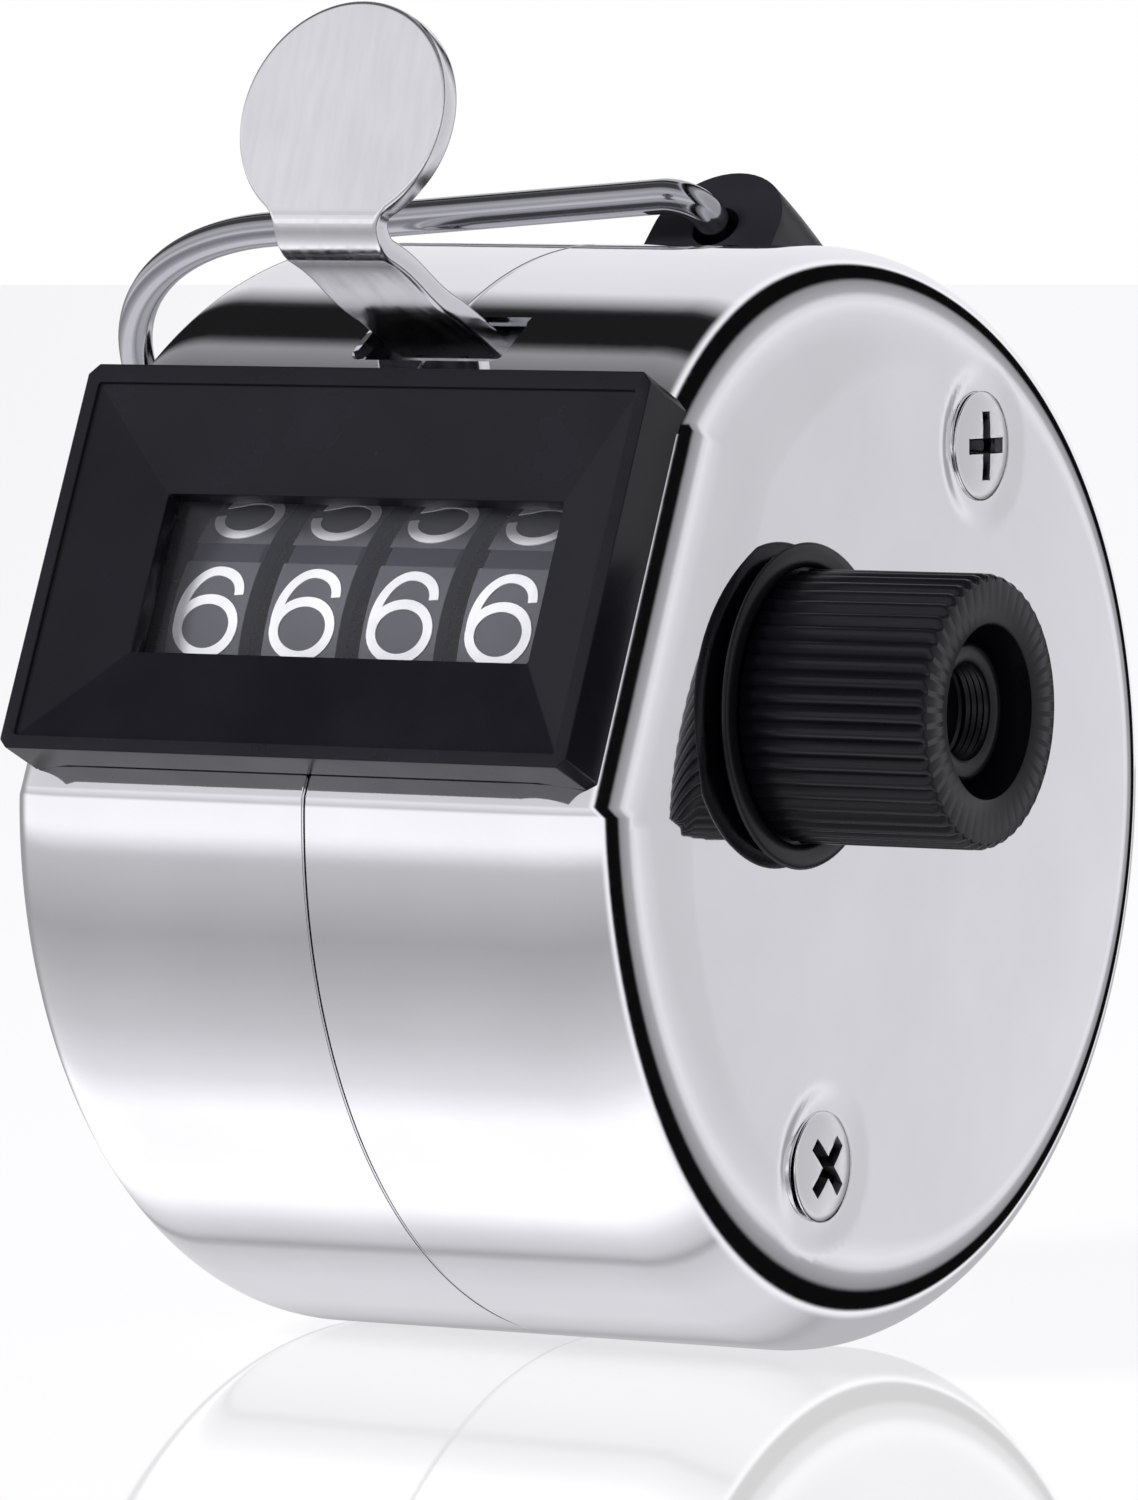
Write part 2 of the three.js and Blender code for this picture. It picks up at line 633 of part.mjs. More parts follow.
function fingerRing() {
  const drop = RING_DROP * RAD;
  const away = X.clone().multiplyScalar(-Math.cos(drop)).addScaledVector(RING_OUT, -Math.sin(drop));
  const origin = RING_OUT.clone().multiplyScalar(RING_AXIS).setX(SEAM_X);
  const point = (s, t) => origin.clone().addScaledVector(away, s).addScaledVector(RING_ALONG, t);
  const points = [];
  const arc = (cs, ct, r, a0, a1, n) => {
    for (let i = 0; i <= n; i += 1) {
      const a = (a0 + ((a1 - a0) * i) / n) * RAD;
      points.push(point(cs + r * Math.cos(a), ct + r * Math.sin(a)));
    }
  };
  points.push(point(0, -RING_STUB));
  arc(RING_BEND, -RING_HALF + RING_BEND, RING_BEND, 180, 270, 5);
  arc(RING_LEG, 0, RING_HALF, -90, 90, 20);
  arc(RING_BEND, RING_HALF - RING_BEND, RING_BEND, 90, 180, 5);
  points.push(point(0, RING_STUB));
  return sweep(points, WIRE_R, 10);
}

// A round wire through the points, as one closed sweep with mitred corners.
function sweep(points, radius, sides) {
  const section = new THREE.Shape(circle(radius, 0, 0, sides).map(([a, b]) => new THREE.Vector2(a, b)));
  const path = new (class extends THREE.Curve {
    getPoint(t) {
      const f = t * (points.length - 1);
      const i = Math.min(Math.floor(f), points.length - 2);
      return points[i].clone().lerp(points[i + 1], f - i);
    }
    getPointAt(t) {
      return this.getPoint(t);
    }
    getTangentAt(t) {
      const f = Math.round(t * (points.length - 1));
      const before = points[Math.max(f - 1, 0)];
      const after = points[Math.min(f + 1, points.length - 1)];
      return after.clone().sub(before).normalize();
    }
  })();
  const g = new THREE.ExtrudeGeometry(section, { steps: points.length - 1, extrudePath: path, ...FULL });
  return solid(g);
}

// ---- the object ----
const group = new THREE.Group();
group.name = "hand_tally_counter";

const CHROME = { color: 0xd4d6d8, roughness: 0.08, metalness: 1 };
const STEEL = { color: 0xa8aaac, roughness: 0.3, metalness: 1 };
const BLACK = { color: 0x14151a, roughness: 0.35, metalness: 0 };
const BRASS = { color: 0xb08d4a, roughness: 0.35, metalness: 1 };

function add(name, shape, look) {
  const mesh = new THREE.Mesh(geometryOf(shape), new THREE.MeshStandardMaterial(look));
  mesh.name = name;
  group.add(mesh);
}

add("left_shell", shell(-1), CHROME);
add("right_shell", shell(1), CHROME);
add("bezel", bezelBody(), BLACK);
add("window_lens", lens, { color: 0xe8eef0, roughness: 0.05, metalness: 0 });
add("frame_plate_left", framePlate(PLATE_X[0]), STEEL);
add("frame_plate_right", framePlate(PLATE_X[1]), STEEL);
for (const [name, place] of Object.entries(SCREWS)) {
  add(`spacer_post_${name}`, post(place), BRASS);
  add(`case_screw_${name}`, screw(place), CHROME);
}
add("ring_block", ringBlock(), BLACK);
add("finger_ring", fingerRing(), CHROME);
add("lever_pivot_pin", rod(PIVOT_PIN_R, PLATE_X[0] - 0.3, PLATE_X[1] + 1.1, P.y, P.z), STEEL);
add("lever_spring", leverSpring(), STEEL);
add("thumb_lever", lever(), CHROME);
add("pawl_pin", rod(PAWL_PIN_R, RATCHET_X, ARM_X + ARM_T, PAWL_PIVOT.y, PAWL_PIVOT.z, 16), STEEL);
add("drive_pawl", drivePawl(), STEEL);
add("check_finger", checkFinger(), STEEL);
add("ratchet_wheel", ratchet(), BRASS);
const wheelNames = ["thousands", "hundreds", "tens", "units"];
wheelNames.forEach((name, i) => add(`wheel_${name}`, wheel(i), BLACK));
wheelNames.slice(0, 3).forEach((name, i) => add(`pinion_${name}`, pinion(i), BRASS));
add(
  "pinion_shaft",
  rod(PINION_SHAFT_R, PLATE_X[0] - 0.3, PLATE_X[1] + 1.1, PINION_AXIS.y, PINION_AXIS.z, 16),
  STEEL,
);
add("wheel_shaft", rod(SHAFT_R, PLATE_X[0] - 0.6, KNOB_START + 5.1, WHEEL_AXIS.y, WHEEL_AXIS.z), STEEL);
add("knob_collar", collar(), BLACK);
add("reset_knob", knob(), BLACK);

export default group;
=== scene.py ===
"""Looks of a chromed hand tally counter, built round its CAD frame. Shapes are drawn in millimetres."""

import math

import bmesh
import bpy
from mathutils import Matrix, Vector


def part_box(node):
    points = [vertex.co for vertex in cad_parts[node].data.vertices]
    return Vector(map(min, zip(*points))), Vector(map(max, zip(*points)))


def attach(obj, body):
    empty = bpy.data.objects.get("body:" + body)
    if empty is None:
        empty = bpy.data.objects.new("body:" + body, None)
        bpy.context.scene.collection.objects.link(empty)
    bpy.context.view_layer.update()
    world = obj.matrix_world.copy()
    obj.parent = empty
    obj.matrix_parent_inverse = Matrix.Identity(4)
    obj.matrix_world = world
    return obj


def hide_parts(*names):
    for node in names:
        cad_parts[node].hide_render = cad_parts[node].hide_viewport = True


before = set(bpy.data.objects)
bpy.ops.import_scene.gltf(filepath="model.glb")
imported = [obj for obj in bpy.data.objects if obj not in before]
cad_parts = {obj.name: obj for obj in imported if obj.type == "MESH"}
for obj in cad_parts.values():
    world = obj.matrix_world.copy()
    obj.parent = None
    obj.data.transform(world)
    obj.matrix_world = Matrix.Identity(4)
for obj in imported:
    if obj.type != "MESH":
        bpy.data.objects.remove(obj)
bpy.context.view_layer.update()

MM = 0.001
RAD = math.pi / 180
X = Vector((1, 0, 0))


def box_mm(node):
    """Lowest and highest corner of a CAD node, in millimetres."""
    low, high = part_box(node)
    return low / MM, high / MM


# ---- camera ----
AZIMUTH = 31.34
ELEVATION = 3.36
DISTANCE = 439.2
TARGET = Vector((-0.66, -0.55, 1.66))
LENS = 255.6


def view_back():
    """Direction from the object to the camera."""
    a, e = AZIMUTH * RAD, ELEVATION * RAD
    return Vector((math.sin(a) * math.cos(e), -math.cos(a) * math.cos(e), math.sin(e)))


def add_camera():
    back = view_back()
    data = bpy.data.cameras.new("camera")
    data.lens = LENS
    data.sensor_width = 36
    data.clip_start = 0.01
    data.clip_end = 20
    camera = bpy.data.objects.new("camera", data)
    camera.location = (TARGET + back * DISTANCE) * MM
    camera.rotation_euler = (-back).to_track_quat("-Z", "Y").to_euler()
    bpy.context.scene.collection.objects.link(camera)
    bpy.context.scene.camera = camera


# ---- driving sizes, most of them read from the frame ----
left_high = box_mm("left_shell")[1]
right_low, right_high = box_mm("right_shell")
CASE_R = right_high.z
CASE_HALF = right_high.x
WALL = 0.7
CORNER_R = 5.0  # between the barrel and the ends
CROWN = 0.25  # how far the ends bulge
SEAM_X = (left_high.x + right_low.x) / 2
SEAM_GAP = 0.07
SEAM_ROUND = 0.16  # rounding of the cups' rims at the seam

TILT = 24 * RAD  # the bezel's face leans back
UP = Vector((0, math.sin(TILT), math.cos(TILT)))
OUT = Vector((0, -math.cos(TILT), math.sin(TILT)))
FACE = 22.8  # height of the bezel's rim above the case axis
FACET = 20.9  # the case is pressed flat behind the bezel, at this height
BEZEL_BACK = 19.0  # height of the plug's end above the case axis
BEZEL_HALF = 13.25  # half the bezel's width
BEZEL_LOW = -7.35  # its lower and upper edge, measured along UP
BEZEL_HIGH = 9.3
RIM = 0.6  # width of the flat rim round the funnel
RIM_TOP = 0.8  # its width along the top
STEP = 0.2  # small ledge inside the rim
FUNNEL = 1.0  # depth of the funnel
WINDOW = (-8.7, 9.9, -2.7, 4.1)  # left, right, low, high
WINDOW_PLATE = 0.9  # thickness of the plate with the window
PLUG_INSET = 0.8  # the plug in the case's opening is smaller than the bezel by this
PLUG_HALF = BEZEL_HALF - PLUG_INSET
PLUG_LOW = BEZEL_LOW + PLUG_INSET
PLUG_HIGH = BEZEL_HIGH - PLUG_INSET
SEAT = 0.05  # the bezel's underside clears the case by this

shaft_low, shaft_high = box_mm("wheel_shaft")
AXIS_Y = (shaft_low.y + shaft_high.y) / 2
AXIS_Z = (shaft_low.z + shaft_high.z) / 2
SHAFT_R = (shaft_high.z - shaft_low.z) / 2
WHEEL_R = 8.7
WHEEL_W = 3.4
DIGIT_PITCH = 36 * RAD

pin_low, pin_high = box_mm("lever_pivot_pin")
PIVOT = Vector((0, (pin_low.y + pin_high.y) / 2, (pin_low.z + pin_high.z) / 2))
PIVOT_PIN_R = (pin_high.z - pin_low.z) / 2
LEVER_T = 1.0  # thickness of the lever's sheet
STRIP_X = -0.3  # middle of the strip between pivot and bend
STRIP_HALF = 2.45
STRIP_RISE = 25.3 * RAD
STRIP_REACH = 12.1  # from the pivot to where strip and pad would meet without a bend
PAD_R = 4.8
PAD_LEAN = 18.6 * RAD
PAD_RISE = 5.0  # from that corner to the pad's centre
SLOT = (-3.1, 3.9)  # left and right end of the lever's slot
SLOT_ANGLE = 56.8 * RAD  # how far round the case it sits, up from the front
SLOT_HALF = 1.425

BLOCK_TURN = 42 * RAD
RING_OUT = Vector((0, math.sin(BLOCK_TURN), math.cos(BLOCK_TURN)))
RING_ALONG = Vector((0, math.cos(BLOCK_TURN), -math.sin(BLOCK_TURN)))
BLOCK_HALF = 8.45
BLOCK_R = 3.05
BLOCK_CENTRE = 23.5  # distance of the ridge's arc from the case axis
BLOCK_BULGE = 1.0  # the ridge is fuller in its middle than at its ends by this
RING_AXIS = 23.56  # distance of the block's holes from the case axis
WIRE_R = 0.75
RING_HALF = 10.5  # half the width of the wire loop, and the radius of its arc
RING_LEG = 20.4  # from the holes to the arc's centre
RING_DROP = 6 * RAD  # at rest the ring rises from the block by this
RING_BEND = 1.6
RING_STUB = 5.4  # where the wire ends, from the middle of the block

knob_low, knob_high = box_mm("reset_knob")
KNOB_START = knob_low.x
KNOB_END = knob_high.x
KNOB_R = (knob_high.z - knob_low.z) / 2
collar_low, collar_high = box_mm("knob_collar")
COLLAR_R = (collar_high.z - collar_low.z) / 2


# ---- mesh kit ----
def loft(loops, closed=False):
    """Vertices and quads through loops of equal length; a loop of one point is a tip."""
    vertices, rings, faces = [], [], []
    for loop in loops:
        rings.append(list(range(len(vertices), len(vertices) + len(loop))))
        vertices.extend(loop)
    pairs = list(zip(rings, rings[1:]))
    if closed:
        pairs.append((rings[-1], rings[0]))
    for a, b in pairs:
        count = max(len(a), len(b))
        for i in range(count):
            j = (i + 1) % count
            if len(a) == 1:
                faces.append((a[0], b[i], b[j]))
            elif len(b) == 1:
                faces.append((a[i], a[j], b[0]))
            else:
                faces.append((a[i], a[j], b[j], b[i]))
    if not closed:
        if len(rings[0]) > 1:
            faces.append(tuple(reversed(rings[0])))
        if len(rings[-1]) > 1:
            faces.append(tuple(rings[-1]))
    return vertices, faces


def lathe(profile, count, y=0.0, z=0.0):
    """Turns (radius, x) points about a line along X. A profile off the axis closes on itself."""
    loops = []
    for radius, x in profile:
        if radius == 0:
            loops.append([Vector((x, y, z))])
            continue
        angles = [2 * math.pi * i / count for i in range(count)]
        loops.append([Vector((x, y + radius * math.cos(t), z + radius * math.sin(t))) for t in angles])
    return loft(loops, closed=profile[0][0] > 0)


def rod(radius, x0, x1, count, y, z):
    """A plain round bar along X."""
    return lathe([(0, x0), (radius, x0), (radius, x1), (0, x1)], count, y, z)


def plate(outline, x0, x1):
    """An outline of (y, z) points with thickness along X."""
    return loft([[Vector((x, y, z)) for y, z in outline] for x in (x0, x1)])


def joined(*solids):
    """Several vertex and face lists as one."""
    vertices, faces = [], []
    for points, polygons in solids:
        start = len(vertices)
        vertices.extend(points)
        faces.extend(tuple(i + start for i in face) for face in polygons)
    return vertices, faces


def new_object(name, solid, scale=MM):
    vertices, faces = solid
    mesh = bpy.data.meshes.new(name)
    mesh.from_pydata([Vector(v) * scale for v in vertices], [], faces)
    edit = bmesh.new()
    edit.from_mesh(mesh)
    bmesh.ops.remove_doubles(edit, verts=edit.verts, dist=1e-7)
    bmesh.ops.recalc_face_normals(edit, faces=edit.faces)
    edit.to_mesh(mesh)
    edit.free()
    made = bpy.data.objects.new(name, mesh)
    bpy.context.scene.collection.objects.link(made)
    return made


def apply_modifiers(piece):
    bpy.context.view_layer.update()
    graph = bpy.context.evaluated_depsgraph_get()
    mesh = bpy.data.meshes.new_from_object(piece.evaluated_get(graph))
    piece.modifiers.clear()
    piece.data = mesh


def carve(piece, *cutters):
    """Cuts the cutters, closed solids, out of the piece."""
    tools = [new_object(f"cutter_{i}", cutter) for i, cutter in enumerate(cutters)]
    for tool in tools:
        modifier = piece.modifiers.new("cut", "BOOLEAN")
        modifier.operation = "DIFFERENCE"
        modifier.solver = "EXACT"
        modifier.object = tool
    apply_modifiers(piece)
    for tool in tools:
        bpy.data.objects.remove(tool)


def round_edges(piece, width, segments=2, angle=30):
    modifier = piece.modifiers.new("round", "BEVEL")
    modifier.width = width * MM
    modifier.segments = segments
    modifier.limit_method = "ANGLE"
    modifier.angle_limit = angle * RAD
    modifier.use_clamp_overlap = True
    apply_modifiers(piece)


def smooth(piece, angle=35, weighted=True):
    piece.data.polygons.foreach_set("use_smooth", [True] * len(piece.data.polygons))
    piece.data.set_sharp_from_angle(angle=angle * RAD)
    if weighted:
        modifier = piece.modifiers.new("weights", "WEIGHTED_NORMAL")
        modifier.mode = "FACE_AREA"
        modifier.keep_sharp = True
        apply_modifiers(piece)


def finish_piece(piece, material, body, slot, *nodes):
    piece.data.materials.clear()
    piece.data.materials.append(material)
    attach(piece, body)
    if nodes:
        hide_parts(*nodes)
    return piece


# ---- material kit ----
def new_material(name, colour, metallic, roughness):
    material = bpy.data.materials.new(name)
    material.use_nodes = True
    shader = material.node_tree.nodes["Principled BSDF"]
    shader.inputs["Base Color"].default_value = (*colour, 1)
    shader.inputs["Metallic"].default_value = metallic
    shader.inputs["Roughness"].default_value = roughness
    return material, material.node_tree, shader


def noise(tree, scale, detail=3.0, stretch=(1, 1, 1)):
    """Noise over the object's own coordinates; scale is in cells per metre."""
    coordinates = tree.nodes.new("ShaderNodeTexCoord")
    mapping = tree.nodes.new("ShaderNodeMapping")
    mapping.inputs["Scale"].default_value = stretch
    texture = tree.nodes.new("ShaderNodeTexNoise")
    texture.inputs["Scale"].default_value = scale
    texture.inputs["Detail"].default_value = detail
    tree.links.new(coordinates.outputs["Object"], mapping.inputs["Vector"])
    tree.links.new(mapping.outputs["Vector"], texture.inputs["Vector"])
    return texture.outputs["Fac"]


def ramp(tree, source, stops):
    """A colour ramp over (position, (r, g, b)) stops."""
    node = tree.nodes.new("ShaderNodeValToRGB")
    elements = node.color_ramp.elements
    while len(elements) < len(stops):
        elements.new(0.5)
    for element, (position, colour) in zip(elements, stops):
        element.position = position
        element.color = (*colour, 1)
    tree.links.new(source, node.inputs["Fac"])
    return node.outputs["Color"]


def spread(tree, source, low, high):
    """The noise's usual range, stretched between two values."""
    node = tree.nodes.new("ShaderNodeMapRange")
    node.inputs["From Min"].default_value = 0.3
    node.inputs["From Max"].default_value = 0.7
    node.inputs["To Min"].default_value = low
    node.inputs["To Max"].default_value = high
    tree.links.new(source, node.inputs["Value"])
    return node.outputs["Result"]


def relief(tree, shader, height, depth, below=None):
    """Bump of a depth in millimetres."""
    node = tree.nodes.new("ShaderNodeBump")
    node.inputs["Distance"].default_value = depth * MM
    tree.links.new(height, node.inputs["Height"])
    if below is not None:
        tree.links.new(below, node.inputs["Normal"])
    tree.links.new(node.outputs["Normal"], shader.inputs["Normal"])
    return node.outputs["Normal"]


def shade(colour, factor):
    return tuple(c * factor for c in colour)


def metal(name, colour, roughness, brushed=(1, 1, 1), wave=0.0, grain=0.0004):
    """Polished or satin metal: patchy gloss, faint cloudiness and fine scratches."""
    material, tree, shader = new_material(name, colour, 1.0, roughness)
    clouds = noise(tree, 160, 4)
    tint = ramp(tree, clouds, [(0.3, shade(colour, 0.95)), (0.7, colour)])
    tree.links.new(tint, shader.inputs["Base Color"])
    scratches = noise(tree, 2600, 6, brushed)
    tree.links.new(spread(tree, scratches, roughness * 0.7, roughness * 1.35), shader.inputs["Roughness"])
    normal = relief(tree, shader, scratches, grain)
    if wave:
        relief(tree, shader, noise(tree, 90, 1), wave, normal)
    return material


GRAIN_SCALE = 5200  # noise cells per metre in the plastics' surface


def plastic(name, colour, roughness, grain, specular=0.5):
    """Moulded plastic: fine grain, small colour drift and patchy gloss."""
    material, tree, shader = new_material(name, colour, 0.0, roughness)
    shader.inputs["Specular IOR Level"].default_value = specular
    drift = noise(tree, 240, 5)
    tint = ramp(tree, drift, [(0.25, shade(colour, 0.8)), (0.75, shade(colour, 1.25))])
    tree.links.new(tint, shader.inputs["Base Color"])
    fine = noise(tree, GRAIN_SCALE, 3)
    tree.links.new(spread(tree, drift, roughness * 0.85, roughness * 1.15), shader.inputs["Roughness"])
    relief(tree, shader, fine, grain)
    return material


def clear_plastic(name):
    material, tree, shader = new_material(name, (0.35, 0.36, 0.40), 0.0, 0.05)
    shader.inputs["Alpha"].default_value = 0.05
    tree.links.new(spread(tree, noise(tree, 900, 4), 0.03, 0.09), shader.inputs["Roughness"])
    return material


chrome = metal("case_chrome", (0.93, 0.93, 0.95), 0.045, wave=0.0004)
lever_chrome = metal("lever_satin_chrome", (0.90, 0.90, 0.92), 0.2, (1, 0.15, 0.15))
wire_chrome = metal("ring_wire_chrome", (0.46, 0.46, 0.49), 0.11)
screw_metal = metal("screw_nickel", (0.85, 0.85, 0.86), 0.16)
# painted shade: a near-black metal that stands in for the shade inside the screws' cross recesses
recess_painted_shade = metal("screw_recess_shade", (0.10, 0.10, 0.11), 0.4)
frame_steel = metal("frame_steel", (0.50, 0.51, 0.53), 0.32, (1, 0.1, 1), grain=0.001)
brass = metal("gear_brass", (0.72, 0.55, 0.26), 0.3, grain=0.001)
bezel_plastic = plastic("bezel_plastic", (0.006, 0.006, 0.009), 0.25, 0.0008, specular=0.2)
block_plastic = plastic("block_plastic", (0.014, 0.014, 0.019), 0.4, 0.003, specular=0.4)
knob_plastic = plastic("knob_plastic", (0.004, 0.004, 0.006), 0.3, 0.002, specular=0.3)
wheel_plastic = plastic("wheel_plastic", (0.032, 0.031, 0.044), 0.55, 0.002, specular=0.25)
patch_ink = plastic("number_patch_grey", (0.085, 0.085, 0.098), 0.55, 0.001, specular=0.25)
digit_ink = plastic("digit_white", (0.82, 0.82, 0.85), 0.5, 0.001)
clear_lens = clear_plastic("window_clear")


# ---- case: two deep-drawn cups ----
CASE_COUNT = 288  # points round the case
SCREWS = {}
for screw_name in ("upper", "lower"):
    screw_low, screw_high = box_mm(f"case_screw_{screw_name}")
    SCREWS[screw_name] = ((screw_low.y + screw_high.y) / 2, (screw_low.z + screw_high.z) / 2)
SCREW_HEAD_R = (screw_high.z - screw_low.z) / 2
SCREW_HEAD_T = 0.35
DIMPLE_FLOOR = SCREW_HEAD_R + 0.1  # radius of the dimples' flat floor
DIMPLE_RIM = 3.7  # radius where they start
DIMPLE_DEPTH = 0.16

CREST = math.atan(2 * CROWN / (CASE_R - CORNER_R))  # slope where the end meets its corner
FLAT_R = CASE_R - CORNER_R + CORNER_R * math.sin(CREST)  # radius of that place
CORNER_X = CASE_HALF - CROWN - CORNER_R * math.cos(CREST)  # where the barrel ends and the corner starts


def dimple(y, z):
    """How deep the pressed dimples round the screws are at a point of the right end."""
    depth = 0.0
    for sy, sz in SCREWS.values():
        away = math.hypot(y - sy, z - sz)
        if away < DIMPLE_FLOOR:
            depth += DIMPLE_DEPTH
        elif away < DIMPLE_RIM:
            share = (away - DIMPLE_FLOOR) / (DIMPLE_RIM - DIMPLE_FLOOR)
            depth += DIMPLE_DEPTH * (0.5 + 0.5 * math.cos(math.pi * share))
    return depth


def skin(radius):
    """Distance of the end or corner from the case's middle, at a radius."""
    if radius <= FLAT_R:
        return CASE_HALF - CROWN * (radius / FLAT_R) ** 2
    inside = min(radius - (CASE_R - CORNER_R), CORNER_R)
    return CORNER_X + math.sqrt(CORNER_R**2 - inside**2)


def cup_profile(open_x):
    """Outer and inner (radius, distance) points of a cup whose rim is at open_x."""
    outer = [(0, skin(0))]
    plain = [2.5, 5, 7.5, 9.5, 11]
    dimpled = [11.4 + 0.25 * i for i in range(24)]
    outer += [(r, skin(r)) for r in plain + dimpled if r < FLAT_R - 0.1]
    bend_steps = 26
    for i in range(bend_steps + 1):
        t = CREST + (math.pi / 2 - CREST) * i / bend_steps
        outer.append((CASE_R - CORNER_R + CORNER_R * math.sin(t), CORNER_X + CORNER_R * math.cos(t)))
    outer += [(CASE_R, (CORNER_X + open_x) / 2)]
    lip = SEAM_ROUND
    lip_steps = 4
    for i in range(lip_steps + 1):
        t = math.pi / 2 * i / lip_steps
        outer.append((CASE_R - lip + lip * math.cos(t), open_x + lip - lip * math.sin(t)))
    inner = [(CASE_R - WALL, open_x)]
    inner_r = CORNER_R - WALL
    inner_drop = CROWN * 0.3
    inner_steps = 8
    for i in range(inner_steps + 1):
        t = math.pi / 2 * (1 - i / inner_steps)
        radius = CASE_R - CORNER_R + inner_r * math.sin(t)
        inner.append((radius, CORNER_X + inner_r * math.cos(t) - inner_drop))
    inner += [(r, skin(r) - WALL - inner_drop) for r in (15, 12.5, 10, 6)]
    inner += [(0, skin(0) - WALL)]
    return outer + inner


def cup_solid(sign):
    open_x = sign * SEAM_X + SEAM_GAP / 2
    loops = []
    for radius, distance in cup_profile(open_x):
        if radius == 0:
            loops.append([Vector((sign * distance, 0, 0))])
            continue
        loop = []
        for i in range(CASE_COUNT):
            t = 2 * math.pi * i / CASE_COUNT
            y, z = radius * math.cos(t), radius * math.sin(t)
            dent = dimple(y, z) if sign > 0 and distance > CORNER_X - WALL else 0.0
            point = Vector((sign * (distance - dent), y, z))
            excess = point.dot(OUT) - (FACET - CASE_R + radius)
            if excess > 0:
                point -= OUT * excess
            loop.append(point)
        loops.append(loop)
    return loft(loops)


def skin_normal(point, sign):
    """Exact direction of the outer skin at a point on it, or None off the skin."""
    off_barrel, off_corner, off_end = 0.02, 0.05, 0.03  # facets of the mesh stay this near the true skin
    radius = math.hypot(point.y, point.z)
    radial = Vector((0, point.y, point.z)).normalized()
    pressed = point.dot(OUT) + CASE_R - FACET
    if pressed > radius + 1e-4:
        radius, radial = pressed, OUT
    distance = sign * point.x
    if distance < CORNER_X:
        return radial if abs(radius - CASE_R) < off_barrel else None
    dented = sign > 0

    def surface(y, z):
        pressed_r = Vector((0, y, z)).dot(OUT) + CASE_R - FACET
        return skin(max(math.hypot(y, z), pressed_r)) - (dimple(y, z) if dented else 0.0)

    if radius > CASE_R - 0.001:
        return radial if abs(radius - CASE_R) < off_barrel else None
    if radius > FLAT_R and not (dented and dimple(point.y, point.z) > 0):
        rise = (radius - (CASE_R - CORNER_R)) / CORNER_R
        lift = math.sqrt(max(1 - rise * rise, 0))
        if abs(CORNER_X + CORNER_R * lift - distance) > off_corner:
            return None
        return (X * sign * lift + radial * rise).normalized()
    if abs(surface(point.y, point.z) - distance) > off_end:
        return None
    near = 0.01  # the slope is measured over this to either side
    slope_y = (surface(point.y + near, point.z) - surface(point.y - near, point.z)) / (2 * near)
    slope_z = (surface(point.y, point.z + near) - surface(point.y, point.z - near)) / (2 * near)
    return Vector((sign, -slope_y, -slope_z)).normalized()


def polish(piece, sign):
    """Sets exact normals on the outer skin, so that the cuts leave no dents in the reflections."""
    mesh = piece.data
    mesh.polygons.foreach_set("use_smooth", [True] * len(mesh.polygons))
    mesh.set_sharp_from_angle(angle=30 * RAD)
    exact = [skin_normal(v.co / MM, sign) for v in mesh.vertices]
    normals = [Vector((0, 0, 0))] * len(mesh.loops)
    for polygon in mesh.polygons:
        for index in polygon.loop_indices:
            found = exact[mesh.loops[index].vertex_index]
            if found is not None and found.dot(polygon.normal) > 0.9:
                normals[index] = found
    mesh.normals_split_custom_set(normals)


def rounded_rectangle(x0, x1, y0, y1, radius, steps=6):
    points = []
    corners = ((x1 - radius, y1 - radius, 0), (x0 + radius, y1 - radius, 90),
               (x0 + radius, y0 + radius, 180), (x1 - radius, y0 + radius, 270))
    for cx, cy, start in corners:
        for i in range(steps + 1):
            t = (start + 90 * i / steps) * RAD
            points.append((cx + radius * math.cos(t), cy + radius * math.sin(t)))
    return points


def slot_cutter():
    """The lever's slot: straight walls with a small rolled edge at the skin."""
    ahead = Vector((0, math.sin(SLOT_ANGLE), math.cos(SLOT_ANGLE)))
    out = Vector((0, -math.cos(SLOT_ANGLE), math.sin(SLOT_ANGLE)))
    roll = 0.12
    corner = 0.45
    inside, outside = 20, 24
    loops = []
    for height, grow in ((inside, 0), (CASE_R - roll, 0), (CASE_R + 0.02, roll), (outside, roll + 2)):
        half = SLOT_HALF + grow
        shape = rounded_rectangle(SLOT[0] - grow, SLOT[1] + grow, -half, half, corner + grow)
        loops.append([X * x + ahead * v + out * height for x, v in shape])
    return loft(loops)


def passage_cutter():
    """The slot's rear wall slants with the lever's strip."""
    along = Vector((0, -math.cos(STRIP_RISE), math.sin(STRIP_RISE)))
    over = Vector((0, math.sin(STRIP_RISE), math.cos(STRIP_RISE)))
    half = LEVER_T / 2 + 0.3
    near, far = 1.4, 6  # the stretch of the strip that the wall makes room for
    loops = []
    for x in (SLOT[0] + 0.01, SLOT[1] - 0.01):
        spots = ((far, -half), (near, -half), (near, half), (far, half))
        loops.append([PIVOT + X * x + along * k + over * m for k, m in spots])
    return loft(loops)


def opening_cutter():
    """The opening that the bezel plugs into."""
    margin = 0.25
    corner = 0.4
    half = PLUG_HALF + margin
    shape = rounded_rectangle(-half, half, PLUG_LOW - margin, PLUG_HIGH + margin, corner, 3)
    return loft([at_height(shape, height) for height in (BEZEL_BACK - 3, FACE + 3)])


def add_shells():
    cutters = [opening_cutter(), slot_cutter(), passage_cutter()]
    left = new_object("left_case_shell", cup_solid(-1))
    carve(left, *cutters)
    polish(left, -1)
    finish_piece(left, chrome, "case", "case_chrome", "left_shell")
    right = new_object("right_case_shell", cup_solid(1))
    screw_hole, shaft_hole = 1.3, SHAFT_R + 0.9
    outside = CASE_HALF + 1.5
    holes = [rod(screw_hole, 10, outside, 32, y, z) for y, z in SCREWS.values()]
    holes.append(rod(shaft_hole, 13, outside, 48, AXIS_Y, AXIS_Z))
    carve(right, *cutters, *holes)
    polish(right, 1)
    finish_piece(right, chrome, "case", "case_chrome", "right_shell")


# ---- bezel ----
SIDE_STEPS = 14  # divisions of a long side, so that it can follow the case


